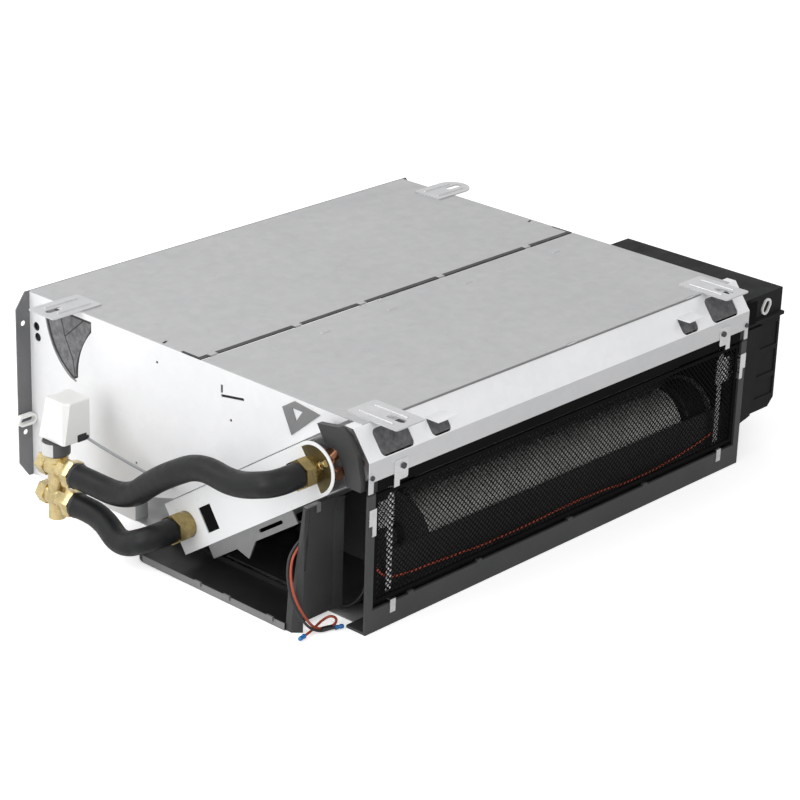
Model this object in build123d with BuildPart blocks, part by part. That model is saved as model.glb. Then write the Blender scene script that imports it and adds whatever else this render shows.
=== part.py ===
from build123d import *
import os
from math import cos, radians, sin

# Concealed ducted fan coil unit, in millimetres.
# Origin: middle of the underside. X along the long side, Y from the air inlet (front)
# to the outlet flange (rear), Z up. Positions called left and front are measured from
# the outer left side and the front face of the inlet frame.

# Casing
CASE_W = 625.0
CASE_D = 529.0
CASE_H = 220.0
SHEET = 1.0
PANEL_INSET = 12.0
DIVIDE = 253.5
DIVIDE_GAP = 3.0
TAB_W = 8.5
TAB_REACH = 7.0
LOUVRE_L = 14.0
LOUVRE_W = 5.0
LOUVRE_H = 0.9
LIP = 9.0
FELT = 5.0
SIDE_FELT = 4.0
FELT_GAP = 0.3
BAR_FELT = 3.0

# Outlet flange
FLANGE_OUT = 19.0
FLANGE_T = 1.5
FLANGE_LAND = 18.0
FLANGE_SPIGOT = 14.0
FLANGE_CUT_X = 13.0
FLANGE_CUT_Z = 18.0
FLANGE_HOLE_R = 3.25
FLANGE_HOLE_IN = 9.5
FLANGE_HOLE_LOW = 54.0
FLANGE_HOLE_PITCH = 130.0

# Crossbar over the inlet
SLOPE_D = 22.5
SLOPE_H = 31.4
STRIP_H = 21.6
LEG_DROP = 12.0
LEG_W = 6.5
WINDOW_W = 47.0
WINDOW_IN = 43.0
WINDOW_H = 30.0
SLOT_WINDOW_W = 28.0
SLOT_WINDOW_IN = 107.0
SLOT_WINDOW_H = 22.0
FLAP_D = 19.0
WINDOW_ROUND = 6.0

# Hangers
HANGER_L = 69.0
HANGER_W = 42.0
HANGER_T = 1.5
HANGER_SLOT_L = 24.0
HANGER_SLOT_R = 4.25
HANGER_SLOT_IN = 20.0
HANGER_FRONT_IN = 44.0
HANGER_FRONT_OUT = 13.0
HANGER_REAR_Y = 462.0
HANGER_REAR_OUT = 40.0
HANGER_RIB_H = 1.0

# Inlet frame and filter
FRAME_DEPTH = 26.0
FRAME_POST = 10.0
FRAME_BAR = 25.0
FRAME_WALL = 3.0
FRAME_DOWN = 12.0
CLIP_L = 8.0
CLIP_H = 2.5
FILTER_SIDE_GAP = 2.5
FILTER_LOW = 30.0
FILTER_DOWN = 4.0
FILTER_FACE = 2.0
FILTER_T = 3.0
FILTER_BAR = 4.0
MESH_T = 0.8
FILTER_TRAVEL = 40.0
STRAP_IN = 39.0
STRAP_W = 8.0
STRAP_T = 1.0
STRAP_BACK = 6.0
TAB_TOP_W = 20.0
TAB_TOP_H = 22.0
TAB_LOW_H = 14.0
PLATE_DOWN = 47.0
PLATE_H = 30.0
PLATE_REACH = 45.0

# Fan
WHEEL_R = 42.0
WHEEL_HUB_R = 31.0
WHEEL_LEFT = 115.0
WHEEL_L = 425.0
AXIS_Y = 62.0
AXIS_Z = 58.0
BLADES = 30
BLADE_T = 1.0
BLADE_SWEEP = 11.0
DISC_T = 2.5
WHEEL_RINGS = 4
SHAFT_R = 4.0
SHAFT_CLEAR = 0.05
BUSH_R = 8.0
BUSH_L = 12.0
END_GAP = 5.0
END_T = 2.0
SCROLL_GAP = 6.0
SCROLL_T = 2.0
SCROLL_FRONT_ANGLE = 162.0
SCROLL_SHORT = 10.0
TONGUE_T = 2.0
MOTOR_R = 35.0
MOTOR_L = 46.0
MOTOR_BOSS_R = 14.0
MOTOR_GAP = 6.0

# Coil
COIL_Y = 3.0
COIL_DROP = 48.5
COIL_LOW = 12.13
COIL_T = 56.0
COIL_START = 12.0
COIL_L = 273.0
FIN_PITCH = 8.0
FIN_T = 0.8
FIN_SPINE = 2.0
TUBE_R = 4.8
TUBE_ROWS = 2
TUBE_COUNT = 8
TUBE_IN = 14.0
ROW_PITCH = 22.0
TUBE_SEAT = 0.1
BEND_CUT = 0.586
COVER_X = 20.0
COVER_PAST = 3.0
COVER_T = 1.2
NUT_UP = 46.0
NUT_LOW_IN = 19.0
NUT_HEX_R = 17.0
NUT_L = 12.0
NUT_COLLAR_R = 14.5
NUT_COLLAR_L = 10.0
STUB_R = 5.4
STUB_OUT = 2.0
COVER_NOSE_R = 27.0
HEADER_R = 5.5
VENT_R = 4.0
VENT_L = 8.0
RAIL_START = 99.0
RAIL_SHORT = 39.0
RAIL_H = 15.0

# Drain
PAN_LEAD = 15.28
PAN_TAIL = 31.41
PAN_LOW = 1.5
PAN_TOP = 17.0
PAN_WALL = 2.0
SPIGOT_R = 10.0
SPIGOT_BORE_R = 8.0
SPIGOT_L = 28.0
SPIGOT_LIFT = 1.0
SPIGOT_IN = 20.0
TRAY_OUT = 50.0
TRAY_FRONT = 64.0
TRAY_REAR = 296.0
TRAY_H = 8.0
TRAY_WALL = 2.5
TRAY_ROUND = 24.0

# Cheeks
CHEEK_DOWN = 18.0
CHEEK_WALL = 3.0
CHEEK_Y = 48.0
CHEEK_LIFT = 13.0
CHEEK_FOOT = 8.5
CHEEK_LEAN = 9.0
CHEEK_INTO = 12.0
RIM_H = 2.5
RIM_OUT = 1.2
CHEEK_SLOT_IN = 4.5
CHEEK_SLOT_W = 2.2
ARM_DOWN = 62.0
ARM_T = 7.0

# Valve and hoses
VALVE_OUT = 58.0
VALVE_Y = 404.0
VALVE_R = 9.5
VALVE_LOW = 12.0
VALVE_HIGH = 86.0
PORT_LOW = 37.0
PORT_PITCH = 34.0
PORT_R = 10.0
PORT_HEX_R = 13.0
PORT_BORE_R = 9.3
PORT_BORE_L = 11.0
PORT_REACH = 22.0
STEM_R = 2.5
STEM_TRAVEL = 3.0
RING_R = 15.5
RING_H = 14.0
ACTUATOR_X = 33.0
ACTUATOR_Y = 39.0
ACTUATOR_H = 47.0
ACTUATOR_IN = 14.0
ACTUATOR_TAPER = 9.0
HOSE_R = 13.5
GLAND_W = 12.0
GLAND_H = 9.0
CABLE_R = 1.6
LEAD_R = 1.4
WIRE_R = 1.2
HOOK_W = 6.0
HOOK_T = 0.8
LEAD_LIFT = 0.6
CRIMP_R = 2.0
CRIMP_L = 9.0

# Electrical box
BOX_W = 87.0
BOX_FRONT = 8.0
BOX_DEPTH = 228.0
BOX_LOW = 50.0
BOX_DOWN = 23.0
BOX_LID_H = 32.0
BOX_cover_endIP = 5.0
POCKET_D = 1.5
BOX_WALL = 3.0

SCREW_R = 2.6
SCREW_HEAD_H = 1.6


def from_left(x):
    return x - CASE_W / 2


def from_front(y):
    return y - CASE_D / 2


def bent_sheet(points, thickness):
    """Outline of a bent sheet: the given side, then its far side, mitred at each bend."""
    corners = [Vector(a, b) for a, b in points]
    last = len(corners) - 1
    far = []
    for i, here in enumerate(corners):
        start = (here - corners[i - 1]) if i > 0 else (corners[1] - here)
        end = (corners[i + 1] - here) if i < last else (here - corners[last - 1])
        start, end = start.normalized(), end.normalized()
        normal_in = Vector(-start.Y, start.X)
        normal_out = Vector(-end.Y, end.X)
        shift = (normal_in + normal_out) * (thickness / (1 + normal_in.dot(normal_out)))
        far.append(here + shift)
    return [(p.X, p.Y) for p in corners + far[::-1]]


x_side = CASE_W / 2
y_front = from_front(0.0)
y_rear = from_front(CASE_D)
panel_x = CASE_W / 2 - PANEL_INSET
inner_x = panel_x - SHEET
roof = CASE_H - SHEET
axis_y = from_front(AXIS_Y)

# The coil leans back: s runs down and rearward along it, n through its thickness.
# Its upper end hangs below the roof and its lower end rests just above the base.
coil_z = CASE_H - COIL_DROP
coil_end = COIL_START + COIL_L
lean_s = (coil_z - COIL_LOW) / coil_end
lean_c = (1 - lean_s**2) ** 0.5


def coil_yz(s, n):
    y = from_front(COIL_Y) + s * lean_c + n * lean_s
    z = coil_z - s * lean_s + n * lean_c
    return (y, z)


coil_back = Plane(
    origin=(0, from_front(COIL_Y), coil_z),
    x_dir=(0, lean_c, -lean_s),
    z_dir=(1, 0, 0),
)


def coil_plane(x):
    return Plane(origin=(x, from_front(COIL_Y), coil_z), x_dir=coil_back.x_dir, z_dir=(1, 0, 0))


# Lengths along the coil that follow its lower end
nut_low = coil_end - NUT_LOW_IN
cover_end = coil_end + COVER_PAST
rail_end = coil_end - RAIL_SHORT
tube_pitch = (COIL_L - 2 * TUBE_IN) / (TUBE_COUNT - 1)
pan_front = coil_yz(coil_end, 0)[0] + CASE_D / 2 - PAN_LEAD
pan_rear = coil_yz(coil_end, COIL_T)[0] + CASE_D / 2 + PAN_TAIL
scroll_rear = pan_front - SCROLL_SHORT
box_high = CASE_H - BOX_DOWN
box_split = box_high - BOX_LID_H


def save(piece, name):
    piece.part.label = name
    export_step(piece.part, "parts/" + name + ".step")
    total = sum(solid.volume for solid in piece.part.solids())
    print(name, len(piece.part.solids()), round(total, 1))


os.makedirs("parts", exist_ok=True)

# Top panels
rear_panel_front = from_front(DIVIDE) + DIVIDE_GAP / 2
front_panel_rear = from_front(DIVIDE) - DIVIDE_GAP / 2
front_panel_front = from_front(SLOPE_D)
tab_x = [-panel_x + 20.0, -157.0, -57.0, 71.0, 221.0]
louvre_x = [-150.0, -47.0, 78.0, 232.0]

with BuildPart() as rear_top_panel:
    with BuildSketch(Plane.XY.offset(roof)):
        with Locations((0, (rear_panel_front + y_rear) / 2)):
            Rectangle(2 * panel_x, y_rear - rear_panel_front)
        slot_y = rear_panel_front + 60.0
        with Locations((-panel_x + 6.0, slot_y), (panel_x - 6.0, slot_y)):
            SlotOverall(9.0, 3.0, rotation=20, mode=Mode.SUBTRACT)
        with Locations((-panel_x, rear_panel_front), (panel_x, rear_panel_front)):
            Rectangle(2 * DIVIDE_GAP, 50.0, mode=Mode.SUBTRACT)
    extrude(amount=SHEET)
    with BuildSketch(Plane.XY.offset(roof - LIP)):
        with Locations((0, y_rear - SHEET / 2)):
            Rectangle(2 * inner_x - 2 * FELT_GAP, SHEET)
    extrude(amount=LIP)

with BuildPart() as front_top_panel:
    with BuildSketch(Plane.XY.offset(roof)):
        with Locations((0, (front_panel_front + front_panel_rear) / 2)):
            Rectangle(2 * panel_x, front_panel_rear - front_panel_front)
        with Locations((from_left(333.0), front_panel_front), (from_left(540.0), front_panel_front)):
            SlotOverall(16.0, 5.0, mode=Mode.SUBTRACT)
    extrude(amount=SHEET)
    with BuildSketch(Plane.XY.offset(roof - SHEET)):
        for x in tab_x:
            with Locations((x, front_panel_rear + (TAB_REACH - LIP) / 2)):
                Rectangle(TAB_W, TAB_REACH + LIP)
    extrude(amount=SHEET)
    with BuildSketch(Plane.XY.offset(CASE_H)):
        for x in louvre_x:
            with Locations((x, front_panel_rear - 30.0)):
                SlotOverall(LOUVRE_L, LOUVRE_W)
    extrude(amount=LOUVRE_H, taper=45)

# Side panels: solid behind the coil, cut away along its leaning back and over the tray
VOID_TOP = 30.0
VOID_REAR = 357.0
COIL_CLEAR = 5.0
SIDE_FLANGE = 18.0


def side_outline(offset=0.0):
    """Outline of a side panel in Y and Z, drawn in by an offset all round."""
    back = COIL_T + COIL_CLEAR + offset
    top = roof - offset
    s_top = (coil_z + back * lean_c - top) / lean_s
    s_low = (coil_z + back * lean_c - VOID_TOP - 18.0) / lean_s
    return [
        (y_rear - offset, 0.0 + offset),
        (y_rear - offset, top),
        coil_yz(s_top, back),
        coil_yz(s_low, back),
        (from_front(VOID_REAR) + offset, VOID_TOP + offset),
        (from_front(VOID_REAR) + offset, 0.0 + offset),
    ]


def leaf_outline():
    """Leaf-shaped window: a pointed lobe that hangs from its upper edge."""
    left = from_front(500.0)
    right = from_front(426.0)
    top = CASE_H - 8.0
    tip = (from_front(452.0), CASE_H - 83.0)
    with BuildLine() as outline:
        Polyline((right, CASE_H - 20.0), (right, top), (left, top), (left, CASE_H - 24.0))
        Spline((left, CASE_H - 24.0), (from_front(484.0), CASE_H - 60.0), (tip[0] + 4.0, tip[1]))
        Line((tip[0] + 4.0, tip[1]), (tip[0] - 3.0, tip[1] + 4.0))
        Spline((tip[0] - 3.0, tip[1] + 4.0), (from_front(446.0), CASE_H - 55.0), (right, CASE_H - 20.0))
    return outline.line


with BuildPart() as left_side_panel:
    with BuildSketch(Plane.YZ.offset(-panel_x)):
        Polygon(*side_outline(), align=None)
        with BuildLine():
            add(leaf_outline())
        make_face(mode=Mode.SUBTRACT)
        with Locations((from_front(206.0), CASE_H - 28.0)):
            Rectangle(34.0, 3.0, rotation=-9, mode=Mode.SUBTRACT)
        with Locations((from_front(222.0), CASE_H - 23.0)):
            Rectangle(3.0, 9.0, mode=Mode.SUBTRACT)
        upper_holes = ((from_front(208.0), CASE_H - 54.0), (from_front(321.0), CASE_H - 23.0))
        with Locations(*upper_holes, (from_front(355.0), 70.0)):
            Circle(1.6, mode=Mode.SUBTRACT)
        with Locations((from_front(518.0), CASE_H - 39.0), (from_front(516.0), CASE_H - 51.0)):
            Circle(5.0, mode=Mode.SUBTRACT)
    extrude(amount=SHEET)
    # Stiffening flange folded inward along the lower front edge
    with BuildSketch(Plane.XY):
        with Locations((-panel_x + SIDE_FLANGE / 2, from_front(VOID_REAR) + SHEET / 2)):
            Rectangle(SIDE_FLANGE, SHEET)
    extrude(amount=VOID_TOP)

with BuildPart() as right_side_panel:
    add(mirror(left_side_panel.part, about=Plane.YZ))

# Base with low flanges against the side panels and three pressed ribs
with BuildPart() as base_panel:
    with BuildSketch(Plane.XY):
        with Locations((0, (from_front(FRAME_DEPTH) + y_rear) / 2)):
            Rectangle(2 * inner_x, CASE_D - FRAME_DEPTH)
        for side in (-1, 1):
            with Locations((side * inner_x, from_front(VOID_REAR) + SHEET / 2)):
                Rectangle(2 * SIDE_FLANGE, SHEET + 0.4, mode=Mode.SUBTRACT)
    extrude(amount=SHEET)
    flange_y0 = from_front(VOID_REAR) + SHEET + 2.0
    with BuildSketch(Plane.XY.offset(SHEET)):
        for side in (-1, 1):
            with Locations((side * (inner_x - SHEET / 2), (flange_y0 + y_rear) / 2)):
                Rectangle(SHEET, y_rear - flange_y0)
    extrude(amount=LIP)
    with BuildSketch(Plane.XY.offset(SHEET)):
        for x in (-200.0, 0.0, 200.0):
            with Locations((x, from_front(430.0))):
                SlotOverall(150.0, 12.0, rotation=90)
    extrude(amount=1.5, taper=30)

# Outlet flange: a ring with cut corners and a short rear spigot for the duct
flange_x = panel_x + FLANGE_OUT
mouth_x = panel_x - FLANGE_LAND
mouth_low = FLANGE_LAND
mouth_high = CASE_H - FLANGE_LAND
hole_x = flange_x - FLANGE_HOLE_IN
hole_mid = FLANGE_HOLE_LOW + FLANGE_HOLE_PITCH / 2
rear_plane = Plane(origin=(0, y_rear, 0), x_dir=(-1, 0, 0), z_dir=(0, 1, 0))
with BuildPart() as outlet_flange:
    with BuildSketch(rear_plane):
        Polygon(
            (-flange_x, FLANGE_CUT_Z),
            (-flange_x + FLANGE_CUT_X, 0),
            (flange_x - FLANGE_CUT_X, 0),
            (flange_x, FLANGE_CUT_Z),
            (flange_x, CASE_H - FLANGE_CUT_Z),
            (flange_x - FLANGE_CUT_X, CASE_H),
            (-flange_x + FLANGE_CUT_X, CASE_H),
            (-flange_x, CASE_H - FLANGE_CUT_Z),
            align=None,
        )
        with Locations((0, (mouth_low + mouth_high) / 2)):
            Rectangle(2 * mouth_x, mouth_high - mouth_low, mode=Mode.SUBTRACT)
        with Locations((0, hole_mid)):
            with GridLocations(2 * hole_x, FLANGE_HOLE_PITCH, 2, 2):
                Circle(FLANGE_HOLE_R, mode=Mode.SUBTRACT)
    extrude(amount=FLANGE_T)
    with BuildSketch(rear_plane):
        with Locations((0, (mouth_low + mouth_high) / 2)):
            Rectangle(2 * mouth_x + 2 * SHEET, mouth_high - mouth_low + 2 * SHEET)
            Rectangle(2 * mouth_x, mouth_high - mouth_low, mode=Mode.SUBTRACT)
    extrude(amount=FLANGE_SPIGOT)

# Felt linings glued inside the panels
with BuildPart() as top_felt:
    with BuildSketch(Plane.XY.offset(roof - FELT)):
        felt_y0 = rear_panel_front + LIP + TAB_REACH
        felt_y1 = y_rear - SHEET - FELT_GAP
        with Locations((0, (felt_y0 + felt_y1) / 2)):
            Rectangle(2 * (inner_x - SIDE_FELT - FELT_GAP), felt_y1 - felt_y0)
    extrude(amount=FELT)

with BuildPart() as left_felt:
    with BuildSketch(Plane.YZ.offset(-inner_x)):
        Polygon(*side_outline(LIP + 2.0), align=None)
    extrude(amount=SIDE_FELT)

with BuildPart() as right_felt:
    add(mirror(left_felt.part, about=Plane.YZ))

# Crossbar: upright strip, sloped strip with windows, rear lip under the front panel
strip_top = CASE_H - SLOPE_H
strip_low = strip_top - STRIP_H
frame_top = strip_low - FRAME_DOWN
filter_high = frame_top - FILTER_DOWN
plate_low = frame_top - PLATE_DOWN
cheek_top = frame_top - CHEEK_DOWN
arm_low = CASE_H - ARM_DOWN
slope_rise = roof - strip_top
slope_len = Vector(SLOPE_D, slope_rise).length
slope_plane = Plane(
    origin=(0, y_front, strip_top),
    x_dir=(1, 0, 0),
    z_dir=(0, -slope_rise, SLOPE_D),
)
with BuildPart() as front_crossbar:
    with BuildSketch(Plane.YZ.offset(-x_side)):
        Polygon(
            *bent_sheet(
                [
                    (front_panel_front + 12.0, roof),
                    (front_panel_front, roof),
                    (y_front, strip_top),
                    (y_front, strip_low),
                ],
                SHEET,
            ),
            align=None,
        )
    extrude(amount=CASE_W)
    for side in (-1, 1):
        with BuildSketch(Plane.XZ.offset(-y_front)):
            with Locations((side * (x_side - LEG_W / 2), strip_low - LEG_DROP / 2)):
                Rectangle(LEG_W, LEG_DROP)
        extrude(amount=-SHEET)
    with BuildSketch(slope_plane):
        for side in (-1, 1):
            with Locations((side * (x_side - WINDOW_IN), WINDOW_H / 2 + 1.0)):
                RectangleRounded(WINDOW_W, WINDOW_H, WINDOW_ROUND)
            with Locations((side * (x_side - SLOT_WINDOW_IN), SLOT_WINDOW_H / 2 + 1.0)):
                RectangleRounded(SLOT_WINDOW_W, SLOT_WINDOW_H, WINDOW_ROUND)
    extrude(amount=-3 * SHEET, both=True, mode=Mode.SUBTRACT)
    # Tongues bent forward out of the top of the small windows
    hinge = slope_plane.from_local_coords((0, SLOT_WINDOW_H + 1.0, 0))
    with BuildSketch(Plane.XY.offset(hinge.Z - SHEET)):
        for side in (-1, 1):
            with Locations((side * (x_side - SLOT_WINDOW_IN), hinge.Y - (FLAP_D - SHEET) / 2)):
                Rectangle(SLOT_WINDOW_W, FLAP_D)
    extrude(amount=SHEET)

with BuildPart() as crossbar_felt:
    with BuildSketch(Plane.YZ.offset(-x_side + LEG_W + 8.0)):
        behind = SHEET + FELT_GAP
        corners = [
            slope_plane.from_local_coords((0, 3.0, -behind)),
            slope_plane.from_local_coords((0, slope_len - 6.0, -behind)),
            slope_plane.from_local_coords((0, slope_len - 6.0, -behind - BAR_FELT)),
            slope_plane.from_local_coords((0, 3.0, -behind - BAR_FELT)),
        ]
        Polygon(*[(p.Y, p.Z) for p in corners], align=None)
    extrude(amount=CASE_W - 2 * LEG_W - 16.0)


def hanger_plate(round_end):
    """Hanger along local X: outer end at 0, slot near it, two raised ribs and rivet seats."""
    with BuildPart() as plate:
        with BuildSketch():
            with Locations((HANGER_L / 2, 0)):
                RectangleRounded(HANGER_L, HANGER_W, 3.0)
            if round_end:
                with Locations((0, 0)):
                    Rectangle(HANGER_W, HANGER_W, mode=Mode.SUBTRACT)
                with Locations((HANGER_W / 2, 0)):
                    Circle(HANGER_W / 2)
            with Locations((HANGER_SLOT_IN, 0)):
                SlotOverall(HANGER_SLOT_L, 2 * HANGER_SLOT_R, mode=Mode.SUBTRACT)
        extrude(amount=HANGER_T)
        with BuildSketch(Plane.XY.offset(HANGER_T)):
            for side in (-1, 1):
                with Locations((HANGER_L / 2 + 3.0, side * (HANGER_SLOT_R + 6.5))):
                    SlotOverall(HANGER_L - 22.0, 3.0)
        extrude(amount=HANGER_RIB_H, taper=20)
    return plate.part


front_hanger_x = x_side - HANGER_FRONT_IN
rear_hanger_x = panel_x + HANGER_REAR_OUT
with BuildPart() as hanger_front_left:
    with Locations(Location((-front_hanger_x, from_front(-HANGER_FRONT_OUT), CASE_H), (0, 0, 90))):
        add(hanger_plate(False))

with BuildPart() as hanger_front_right:
    with Locations(Location((front_hanger_x, from_front(-HANGER_FRONT_OUT), CASE_H), (0, 0, 90))):
        add(hanger_plate(False))

with BuildPart() as hanger_rear_left:
    with Locations(Location((-rear_hanger_x, from_front(HANGER_REAR_Y), CASE_H))):
        add(hanger_plate(False))

with BuildPart() as hanger_rear_right:
    with Locations(Location((rear_hanger_x, from_front(HANGER_REAR_Y), CASE_H), (0, 0, 180))):
        add(hanger_plate(True))

# Inlet frame: posts, lower bar with floor, thin top bar behind the crossbar
with BuildPart() as inlet_frame:
    with BuildSketch(Plane.YZ.offset(-x_side)):
        Polygon(
            (y_front, 0),
            (y_front + FRAME_DEPTH, 0),
            (y_front + FRAME_DEPTH, FRAME_WALL),
            (y_front + FRAME_WALL, FRAME_WALL),
            (y_front + FRAME_WALL, FRAME_BAR),
            (y_front, FRAME_BAR),
            align=None,
        )
    extrude(amount=CASE_W)
    with BuildSketch(Plane.XY):
        with Locations((x_side - FRAME_POST / 2, y_front + FRAME_DEPTH / 2)):
            Rectangle(FRAME_POST, FRAME_DEPTH)
            with Locations((-FRAME_WALL, FRAME_WALL)):
                Rectangle(FRAME_POST, FRAME_DEPTH, mode=Mode.SUBTRACT)
    extrude(amount=frame_top)
    # Left post: open at the side, with a plate at its head that carries the cheek's arm
    with BuildSketch(Plane.YZ.offset(-x_side)):
        with Locations((y_front + (SHEET + FRAME_DEPTH) / 2, (arm_low + strip_low) / 2)):
            Rectangle(FRAME_DEPTH - SHEET, strip_low - arm_low)
    extrude(amount=FRAME_WALL)
    for side in (-1, 1):
        with BuildSketch(Plane.XY.offset(FRAME_BAR)):
            with Locations((side * (x_side - FRAME_POST / 2), y_front + FRAME_WALL / 2)):
                Rectangle(FRAME_POST, FRAME_WALL)
        extrude(amount=frame_top - FRAME_BAR)
    with BuildSketch(Plane.XY.offset(frame_top)):
        with Locations((0, y_front + SHEET + 0.75)):
            Rectangle(CASE_W, 1.5)
    extrude(amount=strip_low - frame_top + 5.0)
    with BuildSketch(Plane.XY.offset(frame_top - 2.0)):
        for side in (-1, 1):
            with Locations((side * (x_side - FRAME_POST / 2), y_front + SHEET + 0.75)):
                Rectangle(FRAME_POST, 1.5)
    extrude(amount=4.0)
    with BuildSketch(Plane.XY.offset(FRAME_BAR)):
        for x in (67.0, 172.0, 320.0, 451.0):
            with Locations((from_left(x), y_front + FRAME_WALL / 2)):
                Rectangle(CLIP_L, FRAME_WALL)
    extrude(amount=CLIP_H)

# Filter: a slim frame round a flat net, drawn out forward
filter_x = x_side - FRAME_POST - FILTER_SIDE_GAP
filter_mid = (FILTER_LOW + filter_high) / 2
filter_h = filter_high - FILTER_LOW
filter_plane = Plane(origin=(0, y_front + FILTER_FACE, filter_mid), x_dir=(1, 0, 0), z_dir=(0, -1, 0))
with BuildPart() as filter_frame:
    with BuildSketch(filter_plane):
        Rectangle(2 * filter_x, filter_h)
        Rectangle(2 * (filter_x - FILTER_BAR), filter_h - 2 * FILTER_BAR, mode=Mode.SUBTRACT)
    extrude(amount=-FILTER_T)

with BuildPart() as filter_mesh:
    with BuildSketch(filter_plane.offset(-FILTER_T / 2)):
        Rectangle(2 * (filter_x - FILTER_BAR), filter_h - 2 * FILTER_BAR)
    extrude(amount=-MESH_T)

# Straps behind the net, with a tab over the crossbar and one over the lower bar
y_tab = y_front - STRAP_T
with BuildPart() as filter_straps:
    for side in (-1, 1):
        strap_x = side * (x_side - STRAP_IN)
        with BuildSketch(Plane.YZ.offset(strap_x - STRAP_W / 2)):
            Polygon(
                *bent_sheet(
                    [
                        (y_front, strip_low + TAB_TOP_H / 2),
                        (y_front, filter_high + 2.5),
                        (y_front + STRAP_BACK + STRAP_T, filter_high + 1.0),
                        (y_front + STRAP_BACK + STRAP_T, FILTER_LOW - 1.5),
                        (y_front, FILTER_LOW - 2.2),
                        (y_front, FRAME_BAR - TAB_LOW_H + 3.0),
                    ],
                    -STRAP_T,
                ),
                align=None,
            )
        extrude(amount=STRAP_W)
        with BuildSketch(Plane.XZ.offset(-y_front)):
            with Locations((strap_x - side * (TAB_TOP_W - STRAP_W) / 2, strip_low + 3.0)):
                RectangleRounded(TAB_TOP_W, TAB_TOP_H, 2.5)
        extrude(amount=STRAP_T)

# Plates that hold the straps: over the posts, then behind the net
with BuildPart() as guide_plates:
    for side in (-1, 1):
        with BuildSketch(Plane.XY.offset(plate_low)):
            outline = bent_sheet(
                [
                    (-x_side + 1.0, y_front),
                    (-x_side + FRAME_POST + 0.3, y_front),
                    (-x_side + FRAME_POST + 1.3, y_front + STRAP_BACK + 2 * STRAP_T),
                    (-x_side + PLATE_REACH, y_front + STRAP_BACK + 2 * STRAP_T),
                ],
                -STRAP_T,
            )
            Polygon(*[(-side * x, y) for x, y in outline], align=None)
        extrude(amount=PLATE_H)
    with Locations((-x_side + 1.0, y_front, plate_low), (x_side - 1.0, y_front, plate_low)):
        Box(9.0, 9.0, 24.0, mode=Mode.SUBTRACT)

# Cross-flow wheel: curved blades between end discs and rings
wheel_x0 = from_left(WHEEL_LEFT)
wheel_x1 = wheel_x0 + WHEEL_L
fan_plane = Plane(origin=(wheel_x0, axis_y, AXIS_Z), x_dir=(0, 1, 0), z_dir=(1, 0, 0))
blade_in = WHEEL_HUB_R + 0.8
blade_out = WHEEL_R - 0.6


def blade_outline():
    """One blade across the rim: two arcs that lean forward from the inner to the outer radius."""
    wide = degrees_of(BLADE_T, blade_in)
    mid = (blade_in + blade_out) / 2
    front_mid = polar(mid, BLADE_SWEEP * 0.28)
    back_mid = polar(mid, BLADE_SWEEP * 0.28 + degrees_of(BLADE_T * 1.15, mid))
    with BuildLine() as edge:
        ThreePointArc(polar(blade_in, 0), front_mid, polar(blade_out, BLADE_SWEEP))
        Line(polar(blade_out, BLADE_SWEEP), polar(blade_out, BLADE_SWEEP + degrees_of(BLADE_T, blade_out)))
        ThreePointArc(
            polar(blade_out, BLADE_SWEEP + degrees_of(BLADE_T, blade_out)), back_mid, polar(blade_in, wide)
        )
        Line(polar(blade_in, wide), polar(blade_in, 0))
    return edge.line


def degrees_of(arc, radius):
    return arc / radius * 180.0 / 3.14159265


def polar(radius, angle):
    return (radius * cos(radians(angle)), radius * sin(radians(angle)))


with BuildPart() as fan_wheel:
    with BuildSketch(fan_plane):
        with PolarLocations(0, BLADES):
            with BuildLine() as one_blade:
                add(blade_outline())
            make_face()
    extrude(amount=WHEEL_L)
    for i in range(WHEEL_RINGS + 1):
        at = i * (WHEEL_L - DISC_T) / WHEEL_RINGS
        with BuildSketch(fan_plane.offset(at)):
            Circle(WHEEL_R)
            if i in (0, WHEEL_RINGS):
                Circle(SHAFT_R, mode=Mode.SUBTRACT)
            else:
                Circle(WHEEL_HUB_R, mode=Mode.SUBTRACT)
        extrude(amount=DISC_T)

# Shaft through both end discs, from the bush to the motor
end_left_x = wheel_x0 - END_GAP - END_T
end_right_x = wheel_x1 + END_GAP
motor_x0 = end_right_x + END_T
with BuildPart() as fan_shaft:
    with BuildSketch(fan_plane.offset(end_left_x - 12.0 - wheel_x0)):
        Circle(SHAFT_R)
    extrude(amount=motor_x0 + 22.0 - end_left_x + 12.0)

with BuildPart() as shaft_bush:
    with BuildSketch(fan_plane.offset(end_left_x + END_T - BUSH_L - wheel_x0)):
        Circle(BUSH_R)
        Circle(SHAFT_R + SHAFT_CLEAR, mode=Mode.SUBTRACT)
    extrude(amount=BUSH_L)

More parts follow.
